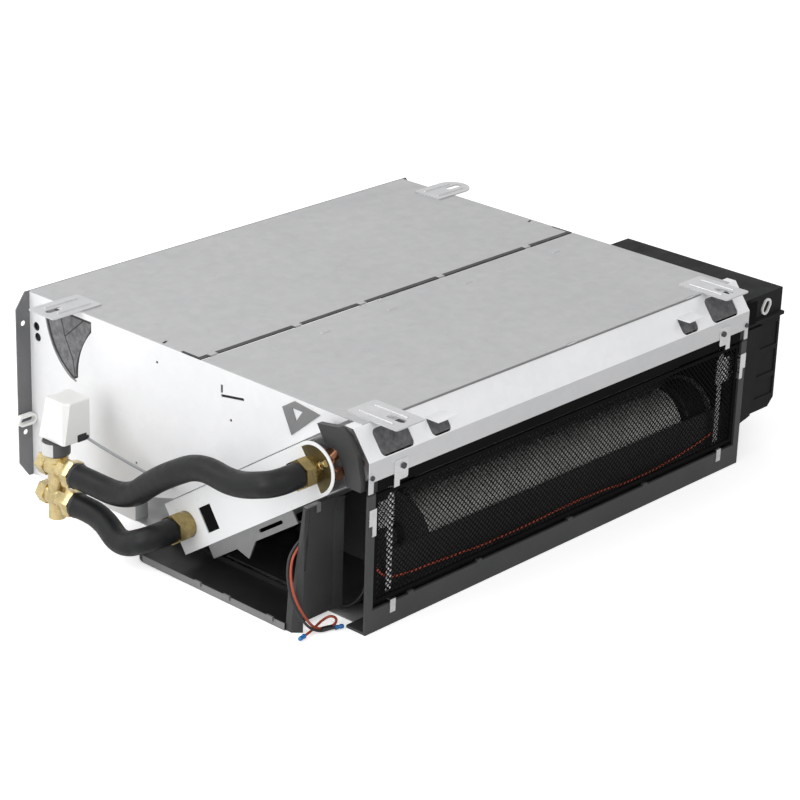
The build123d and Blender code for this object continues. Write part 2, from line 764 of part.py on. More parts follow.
# Scroll: wraps the wheel from the front, under it and back to the drain pan
scroll_in = WHEEL_R + SCROLL_GAP
scroll_out = scroll_in + SCROLL_T
scroll_y0 = axis_y - scroll_out
scroll_end_y = from_front(scroll_rear)
with BuildPart() as fan_scroll:
    with BuildSketch(Plane.YZ.offset(-inner_x + FELT_GAP)):
        with BuildLine():
            a0 = SCROLL_FRONT_ANGLE
            inner_top = (axis_y + scroll_in * cos(radians(a0)), AXIS_Z + scroll_in * sin(radians(a0)))
            outer_top = (axis_y + scroll_out * cos(radians(a0)), AXIS_Z + scroll_out * sin(radians(a0)))
            inner_mid = (axis_y + scroll_in * cos(radians(225)), AXIS_Z + scroll_in * sin(radians(225)))
            outer_mid = (axis_y + scroll_out * cos(radians(225)), AXIS_Z + scroll_out * sin(radians(225)))
            ThreePointArc(inner_top, inner_mid, (axis_y, AXIS_Z - scroll_in))
            Line((axis_y, AXIS_Z - scroll_in), (scroll_end_y, AXIS_Z - scroll_in))
            Polyline(
                (scroll_end_y, AXIS_Z - scroll_in),
                (scroll_end_y, SHEET),
                (scroll_end_y - SCROLL_T, SHEET),
                (scroll_end_y - SCROLL_T, AXIS_Z - scroll_out),
                (axis_y, AXIS_Z - scroll_out),
            )
            ThreePointArc((axis_y, AXIS_Z - scroll_out), outer_mid, outer_top)
            Line(outer_top, inner_top)
        make_face()
        # Apron from the front of the wrap down to the frame's floor
        with Locations((scroll_y0 + SCROLL_T / 2, (FRAME_WALL + AXIS_Z) / 2)):
            Rectangle(SCROLL_T, AXIS_Z - FRAME_WALL)
    extrude(amount=2 * (inner_x - FELT_GAP))
    # Small hooks on the apron hold the inlet wire
    for x, z in ((72.0, 40.6), (213.0, 32.9), (451.0, 29.0), (566.0, 38.2)):
        with BuildSketch(Plane.YZ.offset(from_left(x) - HOOK_W / 2)):
            with BuildLine():
                Polyline(
                    (scroll_y0, z),
                    (scroll_y0 - 2 * WIRE_R - 0.4, z),
                    (scroll_y0 - 2 * WIRE_R - 0.4, z + 2 * WIRE_R),
                    (scroll_y0 - 2 * WIRE_R - 0.4 - HOOK_T, z + 2 * WIRE_R),
                    (scroll_y0 - 2 * WIRE_R - 0.4 - HOOK_T, z - HOOK_T),
                    (scroll_y0, z - HOOK_T),
                    close=True,
                )
            make_face()
        extrude(amount=HOOK_W)

# End walls of the scroll, each one plate with a boss or a motor opening
tongue_nose = (from_front(55.0), AXIS_Z + WHEEL_R + 4.5)
duct_top_rear = coil_yz(coil_end - 35.0, -2.0)
duct_top_front = coil_yz(72.0, -2.0)


wall_r = scroll_in - FELT_GAP
wall_corners = [
    (0, -wall_r),
    (scroll_end_y - axis_y - 6.0, -wall_r),
    (duct_top_rear[0] - axis_y - 18.0, duct_top_rear[1] - AXIS_Z + 4.0),
    (duct_top_front[0] - axis_y, duct_top_front[1] - AXIS_Z),
    (0, wall_r),
]


with BuildPart() as scroll_end_left:
    with BuildSketch(fan_plane.offset(end_left_x - wheel_x0)):
        Circle(wall_r)
        Polygon(*wall_corners, align=None)
    extrude(amount=END_T)
    with BuildSketch(fan_plane.offset(end_left_x + END_T - wheel_x0)):
        Circle(BUSH_R + 4.0)
    extrude(amount=-BUSH_L)
    with BuildSketch(fan_plane.offset(end_left_x + END_T - wheel_x0)):
        Circle(BUSH_R)
    extrude(amount=-BUSH_L, mode=Mode.SUBTRACT)

with BuildPart() as scroll_end_right:
    with BuildSketch(fan_plane.offset(end_right_x - wheel_x0)):
        Circle(wall_r)
        Polygon(*wall_corners, align=None)
        Circle(MOTOR_BOSS_R + 1.0, mode=Mode.SUBTRACT)
    extrude(amount=END_T)

# Tongue over the wheel, held between the end walls
tongue_top = (from_front(15.0), CASE_H - 63.0)
with BuildPart() as fan_tongue:
    with BuildSketch(Plane.YZ.offset(end_left_x + END_T)):
        Polygon(
            *bent_sheet([(from_front(9.5), CASE_H - 67.0), tongue_top, tongue_nose], TONGUE_T),
            align=None,
        )
        with Locations(tongue_nose):
            Circle(TONGUE_T)
    extrude(amount=end_right_x - end_left_x - END_T)

# Motor and its bracket outside the right end wall
with BuildPart() as fan_motor:
    with BuildSketch(fan_plane.offset(motor_x0 + MOTOR_GAP - wheel_x0)):
        Circle(MOTOR_R)
    extrude(amount=MOTOR_L)
    chamfer(fan_motor.edges().filter_by(GeomType.CIRCLE), 4.0)
    with BuildSketch(fan_plane.offset(end_right_x - wheel_x0)):
        Circle(MOTOR_BOSS_R)
    extrude(amount=END_T + MOTOR_GAP + 1.0)
    with BuildSketch(fan_plane.offset(end_right_x - wheel_x0)):
        Circle(SHAFT_R + SHAFT_CLEAR)
    extrude(amount=END_T + 24.0, mode=Mode.SUBTRACT)

bracket_x = motor_x0 + MOTOR_GAP + MOTOR_L
with BuildPart() as motor_bracket:
    with BuildSketch(fan_plane.offset(bracket_x - wheel_x0)):
        Circle(MOTOR_R + 3.0)
        with Locations((25.0, -wall_r / 2)):
            Rectangle(50.0, wall_r)
        with PolarLocations(22.0, 3, start_angle=90):
            Circle(7.0, mode=Mode.SUBTRACT)
    extrude(amount=END_T)

# Fin pack: thin fins across the coil, joined by one spine
fin_x0 = -inner_x + SIDE_FELT + 8.0
fin_x1 = inner_x - 22.0
fin_count = int((fin_x1 - fin_x0 - FIN_T) / FIN_PITCH) + 1
fin_span = (fin_count - 1) * FIN_PITCH
fin_mid = (fin_x0 + fin_x1) / 2
fin_top_plane = Plane(
    origin=(0, coil_yz(COIL_START, 0)[0], coil_yz(COIL_START, 0)[1]),
    x_dir=(1, 0, 0),
    z_dir=(0, -lean_c, lean_s),
)
with BuildPart() as fin_pack:
    with BuildSketch(fin_top_plane):
        with Locations((fin_mid, COIL_T / 2)):
            Rectangle(fin_span, FIN_SPINE)
            with GridLocations(FIN_PITCH, 0, fin_count, 1):
                Rectangle(FIN_T, COIL_T)
    extrude(amount=-COIL_L)

# Hairpin tubes through the fins, with bends at both ends
tube_x0 = fin_mid - fin_span / 2 - 5.0
tube_x1 = fin_mid + fin_span / 2 + 5.0
first_s = COIL_START + TUBE_IN
rows_n = [COIL_T / 2 - ROW_PITCH / 2, COIL_T / 2 + ROW_PITCH / 2]


def tube_s(i):
    return first_s + i * tube_pitch


def bend(start, end, side):
    """Corners of a return bend between two tube ends, in mitred lengths."""
    out = Vector(side, 0, 0)
    across = (end - start).normalized()
    reach = (end - start).length / 2
    cut = reach * BEND_CUT
    return [
        start + out * (reach - cut),
        start + out * reach + across * cut,
        end + out * reach - across * cut,
        end + out * (reach - cut),
    ]


def tube_end(k, x):
    """Point on tube k at x; even tubes lie in the lower row, odd ones in the upper."""
    y, z = coil_yz(tube_s(k // TUBE_ROWS), rows_n[k % TUBE_ROWS])
    return Vector(x, y, z)


coil_route = [tube_end(0, tube_x0)]
for k in range(TUBE_ROWS * TUBE_COUNT - 1):
    side = 1 if k % 2 == 0 else -1
    x = tube_x1 if side > 0 else tube_x0
    coil_route += bend(tube_end(k, x), tube_end(k + 1, x), side)
coil_route.append(tube_end(TUBE_ROWS * TUBE_COUNT - 1, tube_x0))
with BuildPart() as coil_tubes:
    with BuildLine() as coil_path:
        Polyline(*coil_route)
    with BuildSketch(Plane(origin=coil_route[0], z_dir=(1, 0, 0))):
        Circle(TUBE_R)
    sweep(path=coil_path.line, transition=Transition.RIGHT)

# Tube sheets each side of the fins
sheet_left_x = fin_mid - fin_span / 2 - FIN_T / 2 - 1.2 - 2.0
sheet_right_x = fin_mid + fin_span / 2 + FIN_T / 2 + 1.0


def tube_sheet(x):
    with BuildPart() as plate:
        with BuildSketch(coil_plane(x)):
            with Locations((COIL_START + COIL_L / 2, COIL_T / 2)):
                Rectangle(COIL_L + 2.0, COIL_T + 1.0)
                with GridLocations(tube_pitch, ROW_PITCH, TUBE_COUNT, TUBE_ROWS):
                    Circle(TUBE_R + TUBE_SEAT, mode=Mode.SUBTRACT)
        extrude(amount=1.2)
    return plate.part


with BuildPart() as coil_end_plate_left:
    add(tube_sheet(sheet_left_x))

with BuildPart() as coil_end_plate_right:
    add(tube_sheet(sheet_right_x))

# Cover over the left bends: rounded round the upper union, flanged to the casing
cover_x = -x_side - COVER_X
cover_depth = -panel_x - cover_x
nut_n = COIL_T / 2 + 1.5
with BuildPart() as coil_cover_left:
    with BuildSketch(coil_plane(cover_x)):
        with Locations((NUT_UP, nut_n)):
            Circle(COVER_NOSE_R + 2.0)
        with Locations(((NUT_UP + cover_end) / 2, nut_n)):
            Rectangle(cover_end - NUT_UP, COIL_T + 2.0)
        with Locations((NUT_UP, nut_n), (nut_low, nut_n)):
            Circle(NUT_COLLAR_R + 0.3, mode=Mode.SUBTRACT)
        with Locations((coil_end - 57.0, 26.0)):
            Rectangle(20.0, 28.0, mode=Mode.SUBTRACT)
    extrude(amount=COVER_T)
    with BuildSketch(coil_plane(cover_x)):
        with Locations(((NUT_UP + cover_end) / 2, nut_n - COIL_T / 2 - 1.0 + COVER_T / 2)):
            Rectangle(cover_end - NUT_UP, COVER_T)
        with Locations(((NUT_UP + cover_end) / 2, nut_n + COIL_T / 2 + 1.0 - COVER_T / 2)):
            Rectangle(cover_end - NUT_UP, COVER_T)
    extrude(amount=cover_depth)

# Headers inside the cover: from the first or last tube to a stub out through the cover
header_x = cover_x + COVER_T + FELT_GAP + HEADER_R


def header_point(s_at, n_at, x):
    y, z = coil_yz(s_at, n_at)
    return Vector(x, y, z)


def rod(start, end, radius):
    """Round bar between two points."""
    with BuildPart() as bar:
        with BuildSketch(Plane(origin=start, z_dir=end - start)):
            Circle(radius)
        extrude(amount=(end - start).length)
    return bar.part


vent_root = header_point((NUT_UP + tube_s(0)) / 2, (nut_n + rows_n[0]) / 2, header_x)
vent_foot = vent_root + Vector(0, 0, HEADER_R + 1.0)
tube_ends = ((NUT_UP, tube_s(0), rows_n[0]), (nut_low, tube_s(TUBE_COUNT - 1), rows_n[1]))
with BuildPart() as coil_headers:
    for nut_s, end_s, end_n in tube_ends:
        inner = header_point(end_s, end_n, header_x)
        outer = header_point(nut_s, nut_n, header_x)
        over = (inner - outer).normalized() * HEADER_R
        add(rod(outer - over, inner + over, HEADER_R))
        add(rod(header_point(end_s, end_n, tube_x0), inner, TUBE_R))
        add(rod(outer, header_point(nut_s, nut_n, cover_x - STUB_OUT), STUB_R))
    # Seat of the air vent on top of the upper header
    add(rod(vent_root, vent_foot, VENT_R + 0.6))

# Union nuts: collar, hexagon and tail to the hose
def union_nut(at):
    with BuildPart() as nut:
        with BuildSketch(coil_plane(cover_x)):
            with Locations((at, nut_n)):
                Circle(NUT_COLLAR_R)
        extrude(amount=-NUT_COLLAR_L)
        with BuildSketch(coil_plane(cover_x - NUT_COLLAR_L)):
            with Locations((at, nut_n)):
                RegularPolygon(NUT_HEX_R, 6)
        extrude(amount=-NUT_L)
        with BuildSketch(coil_plane(cover_x)):
            with Locations((at, nut_n)):
                Circle(STUB_R + TUBE_SEAT)
        extrude(amount=-STUB_OUT, mode=Mode.SUBTRACT)
    return nut.part


with BuildPart() as union_nut_upper:
    add(union_nut(NUT_UP))

with BuildPart() as union_nut_lower:
    add(union_nut(nut_low))

# Slotted air vent screw on its seat
vent_plane = Plane(origin=vent_foot, x_dir=(1, 0, 0), z_dir=(0, 0, 1))
print("vent screw foot", vent_foot)
with BuildPart() as air_vent:
    with BuildSketch(vent_plane):
        Circle(VENT_R)
    extrude(amount=VENT_L)
    with BuildSketch(vent_plane.offset(VENT_L)):
        Rectangle(1.2, 2 * VENT_R)
    extrude(amount=-1.5, mode=Mode.SUBTRACT)

# Rail under the cover with a hanging ear
with BuildPart() as coil_rail:
    with BuildSketch(coil_plane(cover_x)):
        rail_top = nut_n - COIL_T / 2 - 1.0
        Polygon(
            (RAIL_START, rail_top),
            (rail_end, rail_top),
            (rail_end, rail_top - RAIL_H),
            (rail_end - 42.0, rail_top - RAIL_H),
            (rail_end - 54.0, rail_top - RAIL_H - 14.0),
            (rail_end - 74.0, rail_top - RAIL_H),
            (RAIL_START, rail_top - RAIL_H),
            align=None,
        )
        with Locations((140.0, rail_top - 7.0)):
            SlotOverall(40.0, 4.0, mode=Mode.SUBTRACT)
    extrude(amount=2.0)
    with BuildSketch(coil_plane(cover_x)):
        with Locations(((RAIL_START + rail_end) / 2, rail_top - 1.0)):
            Rectangle(rail_end - RAIL_START, 2.0)
        with Locations(((RAIL_START + rail_end) / 2, rail_top - RAIL_H + 1.0)):
            Rectangle(rail_end - RAIL_START, 2.0)
    extrude(amount=cover_depth)
    # Angle that lies on the cheek's top edge
    with BuildSketch(Plane.XY.offset(cheek_top)):
        with Locations((-x_side - 29.0, from_front(CHEEK_Y + 0.5))):
            Rectangle(19.0, 5.0)
    extrude(amount=1.2)
    with BuildSketch(Plane.XY.offset(cheek_top - 8.0)):
        with Locations((-x_side - 23.0, from_front(CHEEK_Y - 2.4))):
            Rectangle(5.0, 1.0)
    extrude(amount=9.2)

# Triangular bracket between the coil's back and the side panel
with BuildPart() as coil_bracket:
    with BuildSketch(Plane.YZ.offset(-panel_x - 1.2)):
        Polygon(
            (from_front(133.0), CASE_H - 15.0),
            (from_front(116.0), CASE_H - 4.0),
            (from_front(80.0), CASE_H - 8.0),
            (from_front(119.0), CASE_H - 42.0),
            align=None,
        )
        Polygon(
            (from_front(119.0), CASE_H - 12.0),
            (from_front(104.0), CASE_H - 12.0),
            (from_front(113.0), CASE_H - 25.0),
            align=None,
            mode=Mode.SUBTRACT,
        )
    extrude(amount=1.2)

# Drain pan across the unit below the coil's low end, with its spigot
with BuildPart() as drain_pan:
    with BuildSketch(Plane.XY.offset(PAN_LOW)):
        with Locations((0, from_front((pan_front + pan_rear) / 2))):
            Rectangle(2 * (inner_x - 1.0), pan_rear - pan_front)
    extrude(amount=PAN_TOP - PAN_LOW)
    with BuildSketch(Plane.XY.offset(PAN_LOW + PAN_WALL)):
        with Locations((0, from_front((pan_front + pan_rear) / 2))):
            Rectangle(2 * (inner_x - 1.0 - PAN_WALL), pan_rear - pan_front - 2 * PAN_WALL)
    extrude(amount=PAN_TOP, mode=Mode.SUBTRACT)
    spigot_y = from_front(pan_rear - SPIGOT_IN)
    spigot_root = (inner_x - 1.0, spigot_y, PAN_LOW + SPIGOT_R + SPIGOT_LIFT)
    spigot_plane = Plane(origin=spigot_root, x_dir=(0, 1, 0), z_dir=(1, 0, 0))
    with BuildSketch(spigot_plane):
        Circle(SPIGOT_R)
    extrude(amount=SPIGOT_L)
    with BuildSketch(spigot_plane.offset(-PAN_WALL)):
        Circle(SPIGOT_BORE_R)
    extrude(amount=SPIGOT_L + PAN_WALL, mode=Mode.SUBTRACT)

# Side tray under the connections
tray_x0 = -x_side - TRAY_OUT
tray_x1 = -panel_x - 0.5
tray_w = tray_x1 - tray_x0
tray_d = TRAY_REAR - TRAY_FRONT
with BuildPart() as side_tray:
    with BuildSketch(Plane.XY) as tray_foot:
        with Locations(((tray_x0 + tray_x1) / 2, from_front((TRAY_FRONT + TRAY_REAR) / 2))):
            Rectangle(tray_w, tray_d)
        rear_corner = tray_foot.vertices().group_by(Axis.Y)[-1].sort_by(Axis.X)[0]
        fillet(rear_corner, TRAY_ROUND)
    extrude(amount=TRAY_H)
    rim = side_tray.faces().sort_by(Axis.Z)[-1]
    offset(amount=-TRAY_WALL, openings=rim)
    with BuildSketch(Plane.XY.offset(TRAY_H - 3.0)):
        for y in (190.0, 147.0, 84.0):
            with Locations((tray_x0 - 1.0, from_front(y))):
                Rectangle(2.0, 9.0)
    extrude(amount=5.0)

# Left cheek: curved wall in front of the tray and the arm up to the crossbar
cheek_x0 = -x_side - TRAY_OUT + 2.0
with BuildPart() as left_cheek:
    with BuildSketch(Plane.XY):
        with BuildLine():
            wall_out = [
                (cheek_x0, from_front(TRAY_FRONT - 0.5)),
                (cheek_x0, from_front(CHEEK_Y + 8.0)),
                (cheek_x0 + 8.0, from_front(CHEEK_Y)),
                (-x_side, from_front(CHEEK_Y - 1.5)),
                (-x_side + CHEEK_INTO, from_front(CHEEK_Y - 4.0)),
            ]
            Polyline(*bent_sheet(wall_out, CHEEK_WALL), close=True)
        make_face()
    extrude(amount=cheek_top)
    # Rim along the top and a tab below it
    with BuildSketch(Plane.XY.offset(cheek_top - RIM_H)):
        with BuildLine():
            Polyline(*bent_sheet(wall_out[2:], -RIM_OUT), close=True)
        make_face()
    extrude(amount=RIM_H)
    with BuildSketch(Plane.XY.offset(cheek_top - RIM_H - 11.0)):
        with BuildLine():
            Polyline(
                (-x_side + 3.0, from_front(CHEEK_Y - 3.2)),
                (-x_side + 9.0, from_front(CHEEK_Y - 4.4)),
                (-x_side + 9.0, from_front(CHEEK_Y - 2.4)),
                (-x_side + 3.0, from_front(CHEEK_Y - 1.2)),
                close=True,
            )
        make_face()
    extrude(amount=11.0)
    # The wall stands on a foot at its outer end, and its outer edge leans in
    with BuildSketch(Plane.XZ.offset(-from_front(TRAY_FRONT))):
        Polygon(
            (cheek_x0 + CHEEK_FOOT, 0),
            (-x_side + CHEEK_INTO + 1.0, 0),
            (-x_side + CHEEK_INTO + 1.0, CHEEK_LIFT),
            (cheek_x0 + CHEEK_FOOT, CHEEK_LIFT),
            align=None,
        )
        Polygon(
            (cheek_x0, CHEEK_LIFT),
            (cheek_x0 + CHEEK_LEAN, cheek_top),
            (cheek_x0 - CHEEK_LEAN, cheek_top),
            (cheek_x0 - CHEEK_LEAN, CHEEK_LIFT),
            align=None,
        )
        # Upright slot along the leaning edge
        slot_x = cheek_x0 + CHEEK_LEAN + CHEEK_SLOT_IN
        slot_foot = slot_x - 0.55 * CHEEK_LEAN
        Polygon(
            (slot_x, cheek_top - RIM_H - 1.5),
            (slot_x + CHEEK_SLOT_W, cheek_top - RIM_H - 1.5),
            (slot_foot + CHEEK_SLOT_W, cheek_top / 2),
            (slot_foot, cheek_top / 2),
            align=None,
        )
    extrude(amount=TRAY_FRONT - FRAME_DEPTH + 1.0, mode=Mode.SUBTRACT)
    with BuildSketch(Plane.YZ.offset(-x_side - ARM_T)):
        with BuildLine():
            Polyline(
                (from_front(5.0), arm_low),
                (from_front(5.0), CASE_H - 50.0),
                (from_front(11.0), CASE_H - 24.0),
                (from_front(23.0), CASE_H - 8.0),
                (from_front(36.0), CASE_H - 2.0),
                (from_front(66.0), CASE_H - 7.0),
                (from_front(56.0), CASE_H - 23.0),
                (from_front(38.0), CASE_H - 28.0),
                (from_front(28.0), CASE_H - 46.0),
                (from_front(24.0), arm_low),
                close=True,
            )
        make_face()
    extrude(amount=ARM_T)

# Right cheek: tapered strip in front of the electrical box
with BuildPart() as right_cheek:
    with BuildSketch(Plane.XZ.offset(-from_front(BOX_FRONT))):
        Polygon(
            (x_side, box_split - 5.0),
            (x_side + 37.0, box_split - 5.0),
            (x_side + 26.0, BOX_LOW),
            (x_side, 44.0),
            align=None,
        )
    extrude(amount=3.0)
    with BuildSketch(Plane.XY.offset(44.0)):
        with Locations((x_side + 1.5, from_front(BOX_FRONT + 8.0))):
            Rectangle(3.0, 16.0)
    extrude(amount=6.0)

# Valve: upright body with two ports each way and a neck for the actuator
valve_x = -x_side - VALVE_OUT
valve_y = from_front(VALVE_Y)
port_z = [PORT_LOW, PORT_LOW + PORT_PITCH]
rear_port = Plane(origin=(valve_x, valve_y, 0), x_dir=(-1, 0, 0), z_dir=(0, 1, 0))
front_port = Plane(origin=(valve_x, valve_y, 0), x_dir=(1, 0, 0), z_dir=(0, -1, 0))
with BuildPart() as valve_body:
    with BuildSketch(Plane.XY.offset(VALVE_LOW)):
        with Locations((valve_x, valve_y)):
            Circle(VALVE_R)
    extrude(amount=VALVE_HIGH - VALVE_LOW)
    with BuildSketch(Plane.XY.offset(port_z[1] + 9.0)):
        with Locations((valve_x, valve_y)):
            Circle(PORT_HEX_R)
    extrude(amount=6.0)
    for plane in (rear_port, front_port):
        with BuildSketch(plane):
            with Locations((0, port_z[0]), (0, port_z[1])):
                Circle(PORT_R + 0.8)
        extrude(amount=PORT_REACH - 8.0)
        with BuildSketch(plane.offset(PORT_REACH - 12.0)):
            with Locations((0, port_z[0]), (0, port_z[1])):
                RegularPolygon(PORT_HEX_R, 6)
        extrude(amount=12.0)
    with BuildSketch(rear_port.offset(PORT_REACH)):
        with Locations((0, port_z[0]), (0, port_z[1])):
            Circle(PORT_BORE_R)
    extrude(amount=-PORT_BORE_L, mode=Mode.SUBTRACT)
    with BuildSketch(Plane.XY.offset(VALVE_HIGH)):
        with Locations((valve_x, valve_y)):
            Circle(STEM_R + SHAFT_CLEAR)
    extrude(amount=-20.0, mode=Mode.SUBTRACT)

with BuildPart() as valve_ring:
    with BuildSketch(Plane.XY.offset(VALVE_HIGH + 2.0)):
        with Locations((valve_x, valve_y)):
            Circle(RING_R)
            Circle(STEM_R + 5.0, mode=Mode.SUBTRACT)
    extrude(amount=RING_H)
    with BuildSketch(Plane.XY.offset(VALVE_HIGH)):
        with Locations((valve_x, valve_y)):
            Circle(VALVE_R + 1.0)
            Circle(STEM_R + 2.0, mode=Mode.SUBTRACT)
    extrude(amount=3.0)

ring_top = VALVE_HIGH + 2.0 + RING_H
# The housing sits off the stem toward the casing and leans in at its rear
with BuildPart() as actuator_housing:
    with BuildSketch(Plane.XY.offset(ring_top)):
        with Locations((valve_x + ACTUATOR_IN, valve_y)):
            Rectangle(ACTUATOR_X, ACTUATOR_Y)
    with BuildSketch(Plane.XY.offset(ring_top + ACTUATOR_H)):
        with Locations((valve_x + ACTUATOR_IN, valve_y - ACTUATOR_TAPER / 2)):
            Rectangle(ACTUATOR_X - 3.0, ACTUATOR_Y - ACTUATOR_TAPER)
    loft()
    by_height = actuator_housing.edges().group_by(Axis.Z)
    chamfer(by_height[len(by_height) // 2] + by_height[-1], 2.5)
    with BuildSketch(Plane.XY.offset(ring_top)):
        with Locations((valve_x, valve_y)):
            Circle(STEM_R + 3.0)
    extrude(amount=12.0, mode=Mode.SUBTRACT)
    # Opening for the cable gland in the lower front edge
    gland_x = valve_x + ACTUATOR_IN + ACTUATOR_X / 2 - 9.0
    with BuildSketch(Plane.XY.offset(ring_top)):
        with Locations((gland_x, valve_y - ACTUATOR_Y / 2)):
            Rectangle(GLAND_W, 7.0)
    extrude(amount=GLAND_H, mode=Mode.SUBTRACT)

with BuildPart() as valve_stem:
    with BuildSketch(Plane.XY.offset(VALVE_HIGH - 20.0 + STEM_TRAVEL + 1.0)):
        with Locations((valve_x, valve_y)):
            Circle(STEM_R)
    extrude(amount=ring_top + 6.0 - (VALVE_HIGH - 20.0 + STEM_TRAVEL + 1.0))
    with BuildSketch(Plane.XY.offset(ring_top + 1.0)):
        with Locations((valve_x, valve_y)):
            Circle(STEM_R + 1.5)
    extrude(amount=5.0)


# Hoses between the unions and the valve, each a tube with large bends
def hose(route, radii, radius):
    with BuildPart() as tube:
        with BuildLine() as path:
            FilletPolyline(*route, radius=radii)
        start = path.line @ 0
        with BuildSketch(Plane(origin=start, z_dir=path.line % 0)):
            Circle(radius)
        sweep(path=path.line)
    return tube.part


def route_radii(route):
    """Bend radii: 0.45 of the shorter neighbouring run over the tangent of half the turn."""
    radii = []
    for before, here, after in zip(route, route[1:], route[2:]):
        one = Vector(*here) - Vector(*before)
        two = Vector(*after) - Vector(*here)
        half = radians(one.get_angle(two) / 2)
        radii.append(0.45 * min(one.length, two.length) / (sin(half) / cos(half)))
    return radii


nut_tail_x = cover_x - NUT_COLLAR_L - NUT_L
port_face_y = valve_y - PORT_REACH
up_y, up_z = coil_yz(NUT_UP, nut_n)
low_y, low_z = coil_yz(nut_low, nut_n)
up_run = port_face_y - up_y
low_run = port_face_y - low_y
upper_route = [
    (nut_tail_x, up_y, up_z),
    (nut_tail_x - 31.0, up_y, up_z),
    (nut_tail_x - 33.0, up_y + 0.16 * up_run, up_z - 18.0),
    (nut_tail_x - 26.0, up_y + 0.345 * up_run, up_z - 17.0),
    (nut_tail_x - 24.0, up_y + 0.542 * up_run, up_z - 54.0),
    (valve_x, up_y + 0.715 * up_run, PORT_LOW + PORT_PITCH),
    (valve_x, port_face_y, PORT_LOW + PORT_PITCH),
]
lower_route = [
    (nut_tail_x, low_y, low_z),
    (nut_tail_x - 31.0, low_y, low_z),
    (nut_tail_x - 32.0, low_y + 0.296 * low_run, low_z - 22.0),
    (valve_x, low_y + 0.648 * low_run, PORT_LOW),
    (valve_x, port_face_y, PORT_LOW),
]
print("upper hose radii", [round(r) for r in route_radii(upper_route)])
print("lower hose radii", [round(r) for r in route_radii(lower_route)])
with BuildPart() as hose_upper:
    add(hose(upper_route, route_radii(upper_route), HOSE_R))

with BuildPart() as hose_lower:
    add(hose(lower_route, route_radii(lower_route), HOSE_R))

# Actuator cable down to the side panel, and the loose leads by the left cheek
cable_route = [
    (gland_x + 3.0, valve_y - 18.0, ring_top + 3.0),
    (gland_x + 14.0, valve_y - 52.0, ring_top - 12.0),
    (-panel_x - CABLE_R - 0.1, valve_y - 110.0, ring_top - 40.0),
]
print("cable radii", [round(r) for r in route_radii(cable_route)])
with BuildPart() as actuator_cable:
    add(hose(cable_route, route_radii(cable_route), CABLE_R))

lead_z = LEAD_R + LEAD_LIFT
red_route = [
    (from_left(-31.5), from_front(52.2), 102.0),
    (from_left(-44.5), from_front(58.0), 90.0),
    (from_left(-52.5), from_front(55.5), 66.0),
    (from_left(-52.0), from_front(47.5), 40.0),
    (from_left(-41.5), from_front(40.0), 16.0),
    (from_left(-28.5), from_front(39.0), lead_z + 0.6),
    (from_left(-8.5), from_front(34.0), lead_z),
    (from_left(-1.0), from_front(37.8), lead_z + 4.0),
    (from_left(-1.5), from_front(46.4), lead_z + 4.5),
    (from_left(-9.0), from_front(49.6), lead_z + 1.5),
    (from_left(-21.0), from_front(47.0), lead_z),
    (from_left(-36.0), from_front(41.0), lead_z),
    (from_left(-47.0), from_front(38.5), lead_z),
]
black_route = [
    (from_left(-33.4), from_front(53.4), 104.6),
    (from_left(-46.9), from_front(60.0), 91.6),
    (from_left(-54.4), from_front(58.1), 66.0),
    (from_left(-54.5), from_front(48.5), 36.0),
    (from_left(-45.5), from_front(37.5), 13.0),
    (from_left(-29.5), from_front(35.5), lead_z),
    (from_left(-19.0), from_front(33.2), lead_z),
    (from_left(-12.0), from_front(30.0), lead_z),
]
print("red lead radii", [round(r) for r in route_radii(red_route)])
print("black lead radii", [round(r) for r in route_radii(black_route)])
with BuildPart() as red_lead:
    add(hose(red_route, route_radii(red_route), LEAD_R))

with BuildPart() as black_lead:
    add(hose(black_route, route_radii(black_route), LEAD_R))

# Wire that lies along the scroll's apron behind the filter
wire_y = scroll_y0 - WIRE_R - 0.1
wire_route = [
    (from_left(18.5), wire_y, 74.0),
    (from_left(29.5), wire_y, 54.0),
    (from_left(55.0), wire_y, 43.0),
    (from_left(119.0), wire_y, 40.0),
    (from_left(213.0), wire_y, 33.0),
    (from_left(362.0), wire_y, 38.0),
    (from_left(451.0), wire_y, 29.0),
    (from_left(561.0), wire_y, 39.0),
    (from_left(584.5), wire_y, 46.0),
]
print("inlet wire radii", [round(r) for r in route_radii(wire_route)])
with BuildPart() as inlet_wire:
    add(hose(wire_route, route_radii(wire_route), WIRE_R))

# Insulated crimps on the ends of the leads
with BuildPart() as crimps:
    for route in (red_route, black_route):
        tail = Vector(*route[-1])
        run = (tail - Vector(*route[-2])).normalized()
        add(rod(tail, tail + run * CRIMP_L, CRIMP_R))

